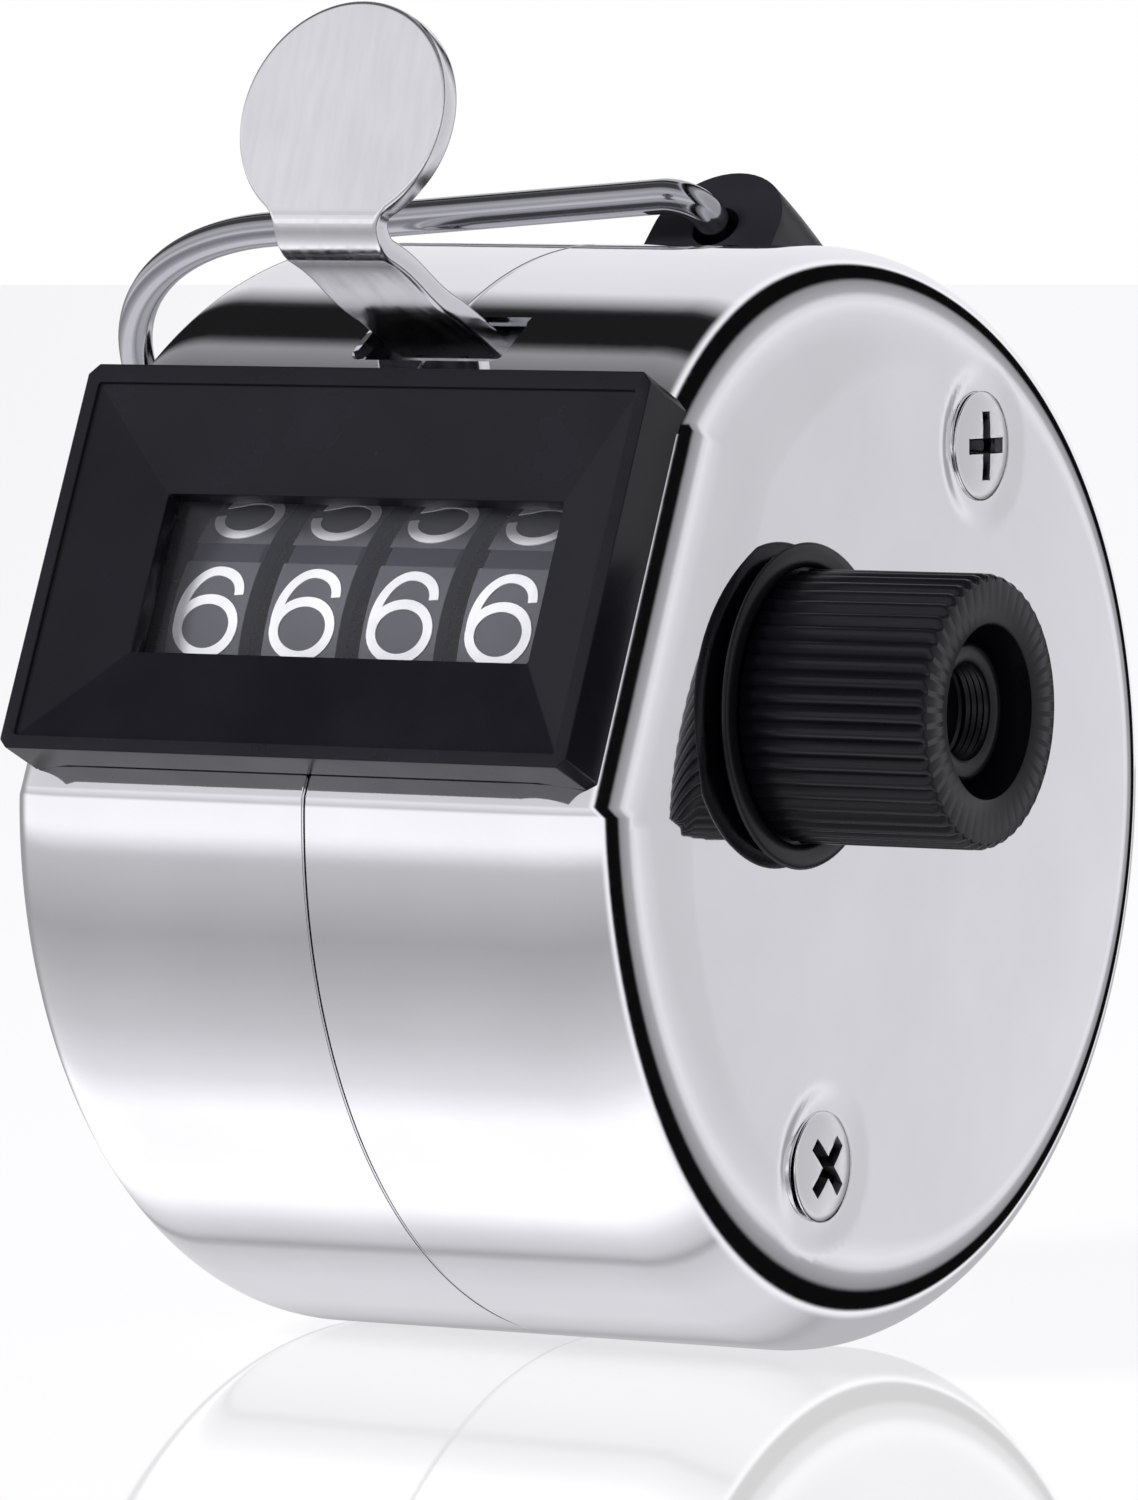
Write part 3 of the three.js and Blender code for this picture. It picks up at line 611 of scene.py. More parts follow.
def bezel_outline(x0, x1, v0, v1, top_cut, low_cut):
    """(x, v) points round a rectangle with cut corners; long sides are divided."""
    corners = [
        (x0 + low_cut, v0), (x1 - low_cut, v0), (x1, v0 + low_cut), (x1, v1 - top_cut),
        (x1 - top_cut, v1), (x0 + top_cut, v1), (x0, v1 - top_cut), (x0, v0 + low_cut),
    ]
    points = []
    for i, (ax, av) in enumerate(corners):
        bx, bv = corners[(i + 1) % 8]
        steps = SIDE_STEPS if i % 2 == 0 else 1
        points += [(ax + (bx - ax) * k / steps, av + (bv - av) * k / steps) for k in range(steps)]
    return points


def case_height(x, v):
    """Height above the case axis, along the bezel's normal, of the skin plus the seat's gap."""
    distance = abs(x)
    radius = CASE_R
    if distance > CORNER_X:
        radius = CASE_R - CORNER_R + math.sqrt(max(CORNER_R**2 - (distance - CORNER_X) ** 2, 0))
    return min(FACET - CASE_R + radius, math.sqrt(max(radius**2 - v * v, 0))) + SEAT


def at_height(outline, height):
    return [X * x + UP * v + OUT * height for x, v in outline]


def on_case(outline):
    return [X * x + UP * v + OUT * case_height(x, v) for x, v in outline]


def add_bezel():
    top_cut, low_cut, inner_cut = 0.45, 0.35, 0.08
    front = bezel_outline(-BEZEL_HALF, BEZEL_HALF, BEZEL_LOW, BEZEL_HIGH, top_cut, low_cut)
    plug = bezel_outline(-PLUG_HALF, PLUG_HALF, PLUG_LOW, PLUG_HIGH, 0.3, 0.3)
    mouth_half = BEZEL_HALF - RIM
    mouth = bezel_outline(
        -mouth_half, mouth_half, BEZEL_LOW + RIM, BEZEL_HIGH - RIM_TOP, inner_cut, inner_cut,
    )
    x0, x1, v0, v1 = WINDOW
    window = bezel_outline(x0, x1, v0, v1, inner_cut, inner_cut)
    side, tall = 1.2, 1.5  # the lens lies in a pocket this much larger than the window
    pocket = bezel_outline(x0 - side, x1 + side, v0 - tall, v1 + tall, 0.2, 0.2)
    floor = FACE - FUNNEL
    shoulder = floor - WINDOW_PLATE
    loops = [
        at_height(plug, BEZEL_BACK), on_case(plug), on_case(front), at_height(front, FACE),
        at_height(mouth, FACE), at_height(mouth, FACE - STEP), at_height(window, floor),
        at_height(window, shoulder), at_height(pocket, shoulder), at_height(pocket, BEZEL_BACK),
    ]
    bezel = new_object("display_bezel", loft(loops, closed=True))
    round_edges(bezel, 0.09, 2, 18)
    smooth(bezel, 50)
    finish_piece(bezel, bezel_plastic, "case", "bezel_plastic", "bezel")


# ---- number wheels ----
PATCH = (3.5, 4.5)  # width and height of a digit's grey square
DIGIT_HALF = (1.32, 1.78)
STROKE = 0.42
INK = 0.035  # thickness of a print layer


def arc(cx, cy, rx, ry, start, end, steps=18):
    angles = [(start + (end - start) * i / steps) * RAD for i in range(steps + 1)]
    return [(cx + rx * math.cos(t), cy + ry * math.sin(t)) for t in angles]


SIX = [
    arc(0, -0.36, 1, 0.64, 0, 360, 32),
    arc(0, -0.16, 1, 1.16, 190, 90) + arc(0, 0.4, 0.95, 0.6, 86, 0, 12),
]
DIGITS = [
    [arc(0, 0, 1, 1, 0, 360, 40)],
    [[(-0.55, 0.6), (0.1, 1), (0.1, -1)]],
    [arc(0, 0.42, 0.95, 0.58, 170, -38) + [(-0.95, -1), (1, -1)]],
    [arc(-0.05, 0.5, 0.85, 0.5, 155, -90), arc(0, -0.48, 1, 0.52, 90, -155)],
    [[(0.45, -1), (0.45, 1), (-0.95, -0.4), (1, -0.4)]],
    [[(0.85, 1), (-0.72, 1), (-0.85, 0.08)] + arc(0, -0.36, 1, 0.64, 128, -178, 26)],
    SIX,
    [[(-0.95, 1), (0.95, 1), (-0.25, -1)]],
    [arc(0, 0.5, 0.82, 0.5, 0, 360, 30), arc(0, -0.46, 1, 0.54, 0, 360, 32)],
    [[(-x, -y) for x, y in stroke] for stroke in SIX],
]


def on_wheel(u, v, height, centre, middle_x):
    """A point u along the shaft and v up the rim from a digit's centre angle."""
    t = centre + v / WHEEL_R
    radius = WHEEL_R + height
    return Vector((middle_x + u, AXIS_Y - radius * math.cos(t), AXIS_Z + radius * math.sin(t)))


def ribbon(points, centre, middle_x, low, high):
    """A flat stroke of even width along the points, wrapped on the rim."""
    closed = math.dist(points[0], points[-1]) < 1e-6
    if closed:
        points = points[:-1]
    dense = []
    for i, here in enumerate(points):
        there = points[(i + 1) % len(points)]
        if not closed and i == len(points) - 1:
            dense.append(here)
            break
        cuts = max(1, round(math.dist(here, there) / 0.3))
        dense += [(here[0] + (there[0] - here[0]) * k / cuts, here[1] + (there[1] - here[1]) * k / cuts)
                  for k in range(cuts)]
    count = len(dense)
    loops = []
    for i, (u, v) in enumerate(dense):
        before = dense[(i - 1) % count] if closed or i > 0 else dense[i]
        after = dense[(i + 1) % count] if closed or i < count - 1 else dense[i]
        first = Vector((u - before[0], v - before[1])).normalized() if (u, v) != before else None
        second = Vector((after[0] - u, after[1] - v)).normalized() if (u, v) != after else None
        first, second = first or second, second or first
        along = (first + second).normalized()
        mitre = STROKE / 2 / max(along.dot(first), 0.6)
        side = Vector((-along.y, along.x)) * mitre
        rim = ((1, low), (1, high), (-1, high), (-1, low))
        loops.append([on_wheel(u + side.x * s, v + side.y * s, h, centre, middle_x) for s, h in rim])
    return loft(loops, closed)


def patch(centre, middle_x):
    """The grey square behind a digit."""
    rows = 6
    loops = []
    for i in range(rows + 1):
        v = PATCH[1] * (i / rows - 0.5)
        rim = ((-1, 0.0), (-1, INK), (1, INK), (1, 0.0))
        loops.append([on_wheel(s * PATCH[0] / 2, v, h - 0.01, centre, middle_x) for s, h in rim])
    return loft(loops)


GEAR_TEETH = 20
GEAR_PITCH_R = 6.8
GEAR_PROUD = 0.5  # the gear stands out of its wheel by this
WEB = 1.6  # thickness of the wheel's web
WHEEL_RIM_IN = 7.9  # inside of the wheel's rim
HUB_R = 3.4
DISC_R = 5.85
DISC_T = 0.35


def gear_outline():
    root, tip = GEAR_PITCH_R - 0.75, GEAR_PITCH_R + 0.5
    root_turn, tip_turn = 0.09, 0.035
    points = []
    for i in range(GEAR_TEETH):
        t = 2 * math.pi * i / GEAR_TEETH - 30 * RAD
        for r, a in ((root, -root_turn), (tip, -tip_turn), (tip, tip_turn), (root, root_turn)):
            points.append((AXIS_Y + r * math.cos(t + a), AXIS_Z + r * math.sin(t + a)))
    return points


def add_gear(name, x0, x1):
    """Transfer gear in the hollow of a wheel, driven by the pinion beside it."""
    gear = new_object(f"transfer_gear_{name}", plate(gear_outline(), x0 + WEB, x1 + GEAR_PROUD))
    carve(gear, rod(HUB_R, x0, x1 + 2, 48, AXIS_Y, AXIS_Z))
    round_edges(gear, 0.05, 1, 25)
    smooth(gear, 30)
    finish_piece(gear, brass, name, "brass")


def add_carry_disc(name, bore, x0):
    """Notched disc that lets the next wheel step once a turn."""
    start, edge = x0 - DISC_T, 0.05
    profile = [(bore, start), (DISC_R - edge, start), (DISC_R, start + edge), (DISC_R, x0), (bore, x0)]
    disc = new_object(f"carry_disc_{name}", lathe(profile, 96, AXIS_Y, AXIS_Z))
    notch_in, notch_out, notch_half = AXIS_Y - 4.9, AXIS_Y - 6.5, 0.5
    shape = [
        (notch_out, AXIS_Z - notch_half), (notch_in, AXIS_Z - notch_half),
        (notch_in, AXIS_Z + notch_half), (notch_out, AXIS_Z + notch_half),
    ]
    carve(disc, plate(shape, x0 - 1, x0 + edge))
    smooth(disc, 30)
    finish_piece(disc, brass, name, "brass")


def add_figures(name, middle_x):
    """Ten grey squares round the rim, each with its white digit."""
    patches, inks = [], []
    for digit, strokes in enumerate(DIGITS):
        centre = TILT + (6 - digit) * DIGIT_PITCH
        patches.append(patch(centre, middle_x))
        for stroke in strokes:
            points = [(x * DIGIT_HALF[0], y * DIGIT_HALF[1]) for x, y in stroke]
            inks.append(ribbon(points, centre, middle_x, INK - 0.012, 2 * INK))
    squares = new_object(f"number_patches_{name}", joined(*patches))
    smooth(squares, 30, weighted=False)
    finish_piece(squares, patch_ink, name, "wheel_plastic")
    figures = new_object(f"digits_{name}", joined(*inks))
    smooth(figures, 30, weighted=False)
    finish_piece(figures, digit_ink, name, "wheel_plastic")


def add_wheel(name, is_units, has_disc):
    """A number wheel rides on the body of the same name."""
    x0 = box_mm(f"wheel_{name}")[0].x + (DISC_T if has_disc else 0.0)
    x1 = x0 + WHEEL_W
    bore = SHAFT_R + 0.2
    edge = 0.12
    rim = [
        (bore, x0), (WHEEL_R - edge, x0), (WHEEL_R, x0 + edge), (WHEEL_R, x1 - edge), (WHEEL_R - edge, x1),
        (WHEEL_RIM_IN, x1), (WHEEL_RIM_IN, x0 + WEB), (HUB_R, x0 + WEB), (HUB_R, x1), (bore, x1),
    ]
    wheel = new_object(f"number_wheel_{name}", lathe(rim, 120, AXIS_Y, AXIS_Z))
    smooth(wheel, 30)
    finish_piece(wheel, wheel_plastic, name, "wheel_plastic", f"wheel_{name}")
    if not is_units:
        add_gear(name, x0, x1)
    if has_disc:
        add_carry_disc(name, bore, x0)
    add_figures(name, (x0 + x1) / 2)


# ---- thumb lever ----
BEND_R = 1.3
EDGE_R = 0.22  # rounding of the sheet's edges
NECK_R = 0.9  # fillets between strip and pad
STRIP_START = 1.35  # from the pivot's centre
BOW = -0.09  # the strip is not quite flat
BOW_START = 5.2
TURN = math.pi / 2 + PAD_LEAN - STRIP_RISE  # how far the pad is bent up from the strip


def lever_outline(start, pad_centre):
    """(across, along) points of the flat blank: strip, neck fillets and round pad."""
    half = STRIP_HALF
    neck = pad_centre - math.sqrt((PAD_R + NECK_R) ** 2 - (half + NECK_R) ** 2)
    touch = math.asin((half + NECK_R) / (PAD_R + NECK_R))  # from the pad's downward axis
    right = [(half, start), (half, neck)]
    steps = 8
    turn = math.pi / 2 - touch
    for i in range(1, steps + 1):
        t = math.pi - turn * i / steps
        right.append((half + NECK_R + NECK_R * math.cos(t), neck + NECK_R * math.sin(t)))
    steps = 56
    for i in range(1, steps + 1):
        t = touch + (math.pi - touch) * i / steps
        right.append((PAD_R * math.sin(t), pad_centre - PAD_R * math.cos(t)))
    left = [(-x, s) for x, s in reversed(right[:-1])]
    return right + left


def inset(outline, distance):
    """The outline moved inwards by a small distance."""
    moved = []
    for i, (x, s) in enumerate(outline):
        before = Vector(outline[i - 1])
        after = Vector(outline[(i + 1) % len(outline)])
        here = Vector((x, s))
        first, second = (here - before).normalized(), (after - here).normalized()
        along = (first + second).normalized()
        side = Vector((-along.y, along.x)) / max(along.dot(first), 0.5)
        moved.append((x + side.x * distance, s + side.y * distance))
    return moved


def fold(point):
    """Bends the flat blank: (across, along, over) to its place on the folded lever."""
    across, s, over = point
    tangent = BEND_R * math.tan(TURN / 2)
    first = STRIP_REACH - tangent
    along = Vector((0, -math.cos(STRIP_RISE), math.sin(STRIP_RISE)))
    normal = Vector((0, math.sin(STRIP_RISE), math.cos(STRIP_RISE)))
    start = PIVOT + X * (STRIP_X + across)
    if BOW_START < s < first:
        over += BOW * math.sin(2 * math.pi * (s - BOW_START) / (first - BOW_START))
    if s <= first:
        return start + along * s + normal * over
    turned = min((s - first) / BEND_R, TURN)
    centre = start + along * first + normal * BEND_R
    radial = -normal * math.cos(turned) + along * math.sin(turned)
    ahead = along * math.cos(turned) + normal * math.sin(turned)
    rest = max(s - first - BEND_R * TURN, 0.0)
    return centre + radial * (BEND_R - over) + ahead * rest


def add_lever():
    tangent = BEND_R * math.tan(TURN / 2)
    first = STRIP_REACH - tangent
    pad_centre = first + BEND_R * TURN + PAD_RISE - tangent
    outline = lever_outline(STRIP_START, pad_centre)
    half = LEVER_T / 2
    edge_steps, bend_steps, bow_steps = 4, 16, 10
    loops = []
    for side in (-1, 1):
        for i in range(edge_steps + 1):
            t = math.pi / 2 * (i / edge_steps if side > 0 else 1 - i / edge_steps)
            ring = inset(outline, EDGE_R * (1 - math.cos(t)))
            loops.append([(x, s, side * (half - EDGE_R + EDGE_R * math.sin(t))) for x, s in ring])
    sheet = new_object("thumb_lever_sheet", loft(loops), 1.0)
    edit = bmesh.new()
    edit.from_mesh(sheet.data)
    cuts = [first + BEND_R * TURN * i / bend_steps for i in range(bend_steps + 1)]
    cuts += [BOW_START + (first - BOW_START) * i / bow_steps for i in range(bow_steps)]
    for s in cuts:
        everything = edit.verts[:] + edit.edges[:] + edit.faces[:]
        bmesh.ops.bisect_plane(edit, geom=everything, plane_co=(0, s, 0), plane_no=(0, 1, 0), dist=1e-5)
    for vertex in edit.verts:
        vertex.co = fold(vertex.co) * MM
    bmesh.ops.recalc_face_normals(edit, faces=edit.faces)
    edit.to_mesh(sheet.data)
    edit.free()
    smooth(sheet, 40)
    finish_piece(sheet, lever_chrome, "lever", "lever_chrome", "thumb_lever")
    add_hub()


def add_hub():
    """Sleeve round the pivot pin, with the arm that carries the drive pawl."""
    y, z = PIVOT.y, PIVOT.z
    outer, bore, edge = 1.7, PIVOT_PIN_R + 0.2, 0.15
    pawl_low, pawl_high = box_mm("pawl_pin")
    ky, kz = (pawl_low.y + pawl_high.y) / 2, (pawl_low.z + pawl_high.z) / 2
    left, arm_start, arm_end = -4.4, 10.0, pawl_high.x
    profile = [
        (bore, left), (outer - edge, left), (outer, left + edge), (outer, arm_end - edge),
        (outer - edge, arm_end), (bore, arm_end),
    ]
    sleeve = new_object("thumb_lever_sleeve", lathe(profile, 64, y, z))
    smooth(sleeve, 30)
    finish_piece(sleeve, frame_steel, "lever", "lever_chrome")
    shape = [
        (y - 1.5, z - 0.6), (y + 1.5, z + 0.6), (ky + 1.35, kz + 0.4), (ky + 1.0, kz - 1.1),
        (ky - 0.6, kz - 1.25), (ky - 1.4, kz - 0.2),
    ]
    arm = new_object("pawl_arm", plate(shape, arm_start, arm_end))
    pin_hole = 0.6
    before, after = arm_start - 2, arm_start + 3
    carve(arm, rod(outer, before, after, 48, y, z), rod(pin_hole, before, after, 32, ky, kz))
    round_edges(arm, 0.08, 2, 40)
    smooth(arm, 35)
    finish_piece(arm, frame_steel, "lever", "lever_chrome")


# ---- finger ring and its block ----
def tube(points, normal, radius, sides=24, cap_steps=4):
    """A round wire in a plane, through points, with rounded ends."""
    loops = []
    dome = radius * 0.6  # how far the rounded ends stand out
    last = len(points) - 1
    for i, point in enumerate(points):
        before, after = points[max(i - 1, 0)], points[min(i + 1, last)]
        ahead = (after - before).normalized()
        side = ahead.cross(normal)
        angles = [2 * math.pi * k / sides for k in range(sides)]
        ring = [side * math.cos(t) + normal * math.sin(t) for t in angles]
        caps = [(0.0, 1.0)]
        if i in (0, last):
            sign = -1 if i == 0 else 1
            turns = [math.pi / 2 * k / cap_steps for k in range(cap_steps)]
            caps = [(sign * dome * math.sin(t), math.cos(t)) for t in turns]
            if i == 0:
                caps.reverse()
        for shift, share in caps:
            loops.append([point + ahead * shift + r * radius * share for r in ring])
    tip_in = points[0] - (points[1] - points[0]).normalized() * dome
    tip_out = points[-1] + (points[-1] - points[-2]).normalized() * dome
    return loft([[tip_in], *loops, [tip_out]])


def add_ring():
    away = -X * math.cos(RING_DROP) - RING_OUT * math.sin(RING_DROP)
    normal = away.cross(RING_ALONG).normalized()
    origin = RING_OUT * RING_AXIS + X * SEAM_X

    def swing(cs, ct, radius, start, end, steps):
        angles = [(start + (end - start) * i / steps) * RAD for i in range(steps + 1)]
        return [origin + away * (cs + radius * math.cos(t)) + RING_ALONG * (ct + radius * math.sin(t))
                for t in angles]

    points = [origin - RING_ALONG * RING_STUB]
    points += swing(RING_BEND, -RING_HALF + RING_BEND, RING_BEND, 180, 270, 16)
    points += swing(RING_LEG, 0, RING_HALF, -90, 90, 72)
    points += swing(RING_BEND, RING_HALF - RING_BEND, RING_BEND, 90, 180, 16)
    points.append(origin + RING_ALONG * RING_STUB)
    ring = new_object("finger_ring_wire", tube(points, normal, WIRE_R))
    smooth(ring, 60, weighted=False)
    finish_piece(ring, wire_chrome, "ring", "ring_wire", "finger_ring")


def add_block():
    """Saddle block: a rounded ridge that sits on the case, with a blind hole in each end."""
    rows = 40
    arc_steps = 24
    foot, foot_rise, foot_slope = 0.35, 0.9, 0.2  # the base spreads by foot, up to foot_rise
    loops = []
    for i in range(rows + 1):
        along = BLOCK_HALF * (2 * i / rows - 1)
        base = math.sqrt((CASE_R + 0.15) ** 2 - along**2)
        full = BLOCK_BULGE * (1 - (along / BLOCK_HALF) ** 2)
        wide = BLOCK_R + full * 0.45
        shape = [(-wide - foot, base), (wide + foot, base), (wide + foot * foot_slope, base + foot_rise)]
        for k in range(arc_steps + 1):
            t = math.pi * k / arc_steps
            shape.append((wide * math.cos(t), BLOCK_CENTRE + (BLOCK_R + full) * math.sin(t)))
        shape.append((-wide - foot * foot_slope, base + foot_rise))
        shape = [(x, max(h, base)) for x, h in shape]
        loops.append([X * (SEAM_X + x) + RING_OUT * h + RING_ALONG * along for x, h in shape])
    block = new_object("ring_saddle_block", loft(loops))
    hole_r, hole_depth = WIRE_R + 0.3, 3.5
    angles = [2 * math.pi * k / 32 for k in range(32)]
    circle = [X * hole_r * math.cos(t) + RING_OUT * hole_r * math.sin(t) for t in angles]
    centre = RING_OUT * RING_AXIS + X * SEAM_X
    holes = []
    for sign in (-1, 1):
        ends = (BLOCK_HALF - hole_depth, BLOCK_HALF + 1)
        holes.append(loft([[centre + RING_ALONG * sign * a + spoke for spoke in circle] for a in ends]))
    carve(block, *holes)
    round_edges(block, 0.3, 3, 50)
    smooth(block, 40)
    finish_piece(block, block_plastic, "case", "block_plastic", "ring_block")


# ---- screws ----
CROSS_DEPTH = 1.1
CROSS_REACH = 1.5
DRIVEN = 0.22  # the head sits this much deeper than the CAD screw's


def cross_cutters(centre, turn):
    """Two tapered wedges that cut a Phillips cross into a head whose top is at the centre."""
    deep, shallow = (-CROSS_DEPTH, 0.75, 0.2), (0.1, CROSS_REACH, 0.33)  # offset, reach, half width
    cutters = []
    for quarter in (0, 90):
        t = (turn + quarter) * RAD
        long_way = Vector((0, math.cos(t), math.sin(t)))
        short_way = Vector((0, -math.sin(t), math.cos(t)))
        loops = []
        for offset, reach, half in (deep, shallow):
            corners = ((-1, -1), (1, -1), (1, 1), (-1, 1))
            middle = centre + X * offset
            loops.append([middle + long_way * reach * a + short_way * half * b for a, b in corners])
        cutters.append(loft(loops))
    return cutters


def add_screw(name, turn):
    y, z = SCREWS[name]
    low, high = box_mm(f"case_screw_{name}")
    top = high.x - DRIVEN
    face = top - SCREW_HEAD_T
    shank = 1.0
    profile = [
        (0, low.x), (shank - 0.25, low.x), (shank, low.x + 0.4), (shank, face - 0.01), (1.2, face),
        (SCREW_HEAD_R - 0.05, face), (SCREW_HEAD_R, face + 0.05), (SCREW_HEAD_R, face + 0.11),
        (SCREW_HEAD_R - 0.08, face + 0.17), (SCREW_HEAD_R - 0.35, face + 0.24), (1.45, face + 0.3),
        (0.9, top - 0.01), (0, top),
    ]
    screw = new_object(f"phillips_screw_{name}", lathe(profile, 72, y, z))
    carve(screw, *cross_cutters(Vector((top, y, z)), turn))
    round_edges(screw, 0.035, 2, 35)
    smooth(screw, 35)
    finish_piece(screw, screw_metal, "case", "screw_steel", f"case_screw_{name}")
    # painted shade: the faces inside the cross recess get the dark metal in place of real shade
    screw.data.materials.append(recess_painted_shade)
    for polygon in screw.data.polygons:
        centre = polygon.center / MM
        in_cross = top - CROSS_DEPTH - 0.1 < centre.x < top - 0.12
        if in_cross and math.hypot(centre.y - y, centre.z - z) < CROSS_REACH:
            polygon.material_index = 1


# ---- reset knob and collar ----
KNOB_RIBS = 48
RIB_DEPTH = 0.25
RIB_POINTS = 8  # points round each rib


def ribbed_loop(x, radius, depth):
    """A loop whose radius dips between the ribs."""
    count = KNOB_RIBS * RIB_POINTS
    loop = []
    for i in range(count):
        t = 2 * math.pi * i / count
        wave = 0.5 + 0.5 * math.cos(KNOB_RIBS * t)
        r = radius - depth * (1 - wave**0.55)
        loop.append(Vector((x, AXIS_Y + r * math.cos(t), AXIS_Z + r * math.sin(t))))
    return loop


def knob_end_profile(end):
    """(radius, x) points of the hollow end, inwards: groove, raised boss and threaded socket."""
    groove_rim, groove_foot, groove_depth = 3.45, 3.3, 2.4
    boss, boss_low = 2.75, 1.0
    socket, socket_depth, thread = 1.95, 2.5, 0.1
    points = [
        (groove_rim + 0.1, end), (groove_rim, end - 0.08), (groove_foot, end - groove_depth),
        (boss, end - groove_depth), (boss, end - boss_low - 0.2), (boss - 0.06, end - boss_low - 0.07),
        (boss - 0.2, end - boss_low), (socket + 0.15, end - boss_low), (socket, end - boss_low - 0.12),
    ]
    turns = 4
    pitch = (socket_depth - boss_low - 0.4) / turns
    for i in range(turns):
        x = end - boss_low - 0.2 - pitch * i
        points += [(socket, x), (socket - thread, x - pitch * 0.5)]
    points += [(socket, end - socket_depth + 0.1), (socket - 0.1, end - socket_depth)]
    return points


def add_knob():
    start, end = KNOB_START, KNOB_END
    bore = SHAFT_R + 0.15
    ribs = RIB_DEPTH
    shaft_depth = 5.4  # how far the shaft reaches in
    stations = [
        (start + shaft_depth, bore, 0), (start, bore, 0), (start, KNOB_R - 0.45, 0),
        (start + 0.06, KNOB_R - 0.1, ribs * 0.7), (start + 0.2, KNOB_R, ribs), (start + 3, KNOB_R, ribs),
        (end - 3, KNOB_R, ribs), (end - 0.42, KNOB_R, ribs), (end - 0.24, KNOB_R - 0.05, ribs * 0.9),
        (end - 0.08, KNOB_R - 0.16, ribs * 0.4), (end, KNOB_R - 0.3, 0),
    ]
    loops = [ribbed_loop(*station) for station in stations]
    loops += [ribbed_loop(x, radius, 0) for radius, x in knob_end_profile(end)]
    knob = new_object("ribbed_reset_knob", loft(loops))
    smooth(knob, 40)
    finish_piece(knob, knob_plastic, "reset", "knob_plastic", "reset_knob")


def add_collar():
    """A disc on the case with a rounded lip that stands round the knob's foot."""
    x0 = collar_low.x
    top = collar_high.x
    inner = SHAFT_R + 0.3
    well = KNOB_R + 0.06
    foot = x0 + 0.15
    profile = [
        (inner, x0), (COLLAR_R - 0.6, x0), (COLLAR_R - 0.4, x0 + 0.18), (COLLAR_R - 0.06, top - 0.32),
    ]
    lip = (COLLAR_R - well) / 2
    lip_height = 0.22
    lip_steps = 8
    for i in range(lip_steps + 1):
        t = math.pi * i / lip_steps
        profile.append((COLLAR_R - lip + lip * math.cos(t), top - lip_height + lip_height * math.sin(t)))
    profile += [(well, x0 + 0.4), (well, foot), (inner, foot)]
    collar = new_object("knob_collar_ring", lathe(profile, 96, AXIS_Y, AXIS_Z))
    smooth(collar, 50)
    finish_piece(collar, knob_plastic, "case", "knob_plastic", "knob_collar")


# ---- finishes for the CAD nodes that stay ----
def finish_nodes():
    finishes = {
        "frame_plate_left": frame_steel, "frame_plate_right": frame_steel,
        "spacer_post_upper": brass, "spacer_post_lower": brass,
        "lever_pivot_pin": frame_steel, "lever_spring": frame_steel, "pawl_pin": frame_steel,
        "drive_pawl": frame_steel, "check_finger": frame_steel, "ratchet_wheel": brass,
        "pinion_thousands": brass, "pinion_hundreds": brass, "pinion_tens": brass,
        "pinion_shaft": frame_steel, "wheel_shaft": frame_steel, "window_lens": clear_lens,
    }
    for name, material in finishes.items():
        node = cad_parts[name]
        node.data.materials.clear()
        node.data.materials.append(material)
        modifier = node.modifiers.new("round", "BEVEL")
        modifier.width = 0.05 * MM
        modifier.segments = 1
        modifier.limit_method = "ANGLE"
        modifier.angle_limit = 40 * RAD
        modifier.harden_normals = False


# ---- studio: a pale floor and a light tent with a dark ring towards the right end ----
FLOOR_Z = -CASE_R - 0.01
FLOOR_HALF = 3000
FLOOR_GLOW = 1.08  # brightness that the camera sees
FLOOR_GREY = 0.25  # what takes the shadow
FLOOR_MIRROR = 0.5  # share of the faint reflection
FLOOR_ROUGHNESS = 0.03
RING_AXIS_AT = (62, 12)  # azimuth from +Y towards +X, and elevation, of the dark ring's middle
# Twice the slope, round X from the front over the top, of a wall that shows this part of the tent,
# and the brightness there.
TENT = [
    (-180, 0.5), (-168, 0.5), (-160, 0.44), (-152, 0.6), (-140, 0.74), (-127, 0.74), (-119, 0.68),
    (-114, 0.62), (-111.5, 0.4), (-108.5, 0.62), (-103, 0.78), (-96, 1.15), (-70, 1.12), (-62, 0.82),
    (-50, 0.6), (-37, 0.46), (-29, 0.4), (-13, 0.55), (-8, 1.05), (2, 1.0), (12, 0.62), (34, 0.85),
    (46, 0.62), (56, 0.5), (64, 0.1), (94, 0.09), (107, 0.3), (110.5, 0.012), (123.5, 0.012), (127, 0.36),
    (132, 0.8), (180, 0.9),
]
# Angle from the dark ring's axis, and the brightness there.
RING_TONES = [
    (0, 0.62), (28, 0.64), (38, 0.72), (44, 0.84), (48, 0.74), (51, 0.42), (57.5, 0.3), (60, 0.004),
    (70, 0.004), (72, 1.0), (74, 1.05), (78, 0.9), (180, 0.9),
]
RING_REACH = (71.5, 77)  # where the ring's surroundings give way to the tent's bands
TENT_SHIFT = 3.95  # twice the slope less this is the angle in the table
LEFT_TONE = 0.34  # brightness that the left end's corner mirrors
LEFT_REACH = (-36, -46)  # slope of the left end's corner where the tent's bands give way to one grey


def pale(value):
    """A grey with a trace of violet."""
    return (value * 0.985, value * 0.98, value * 1.02)


def math_node(tree, operation, *inputs):
    node = tree.nodes.new("ShaderNodeMath")
    node.operation = operation
    for socket, value in zip(node.inputs, inputs):
        if isinstance(value, (int, float)):
            socket.default_value = value
        else:
            tree.links.new(value, socket)
    return node.outputs["Value"]


def blend(tree, source, start, end):
    """0 up to start and 1 from end, with a soft passage between."""
    node = tree.nodes.new("ShaderNodeMapRange")
    node.interpolation_type = "SMOOTHSTEP"
    node.inputs["From Min"].default_value = start
    node.inputs["From Max"].default_value = end
    tree.links.new(source, node.inputs["Value"])
    return node.outputs["Result"]


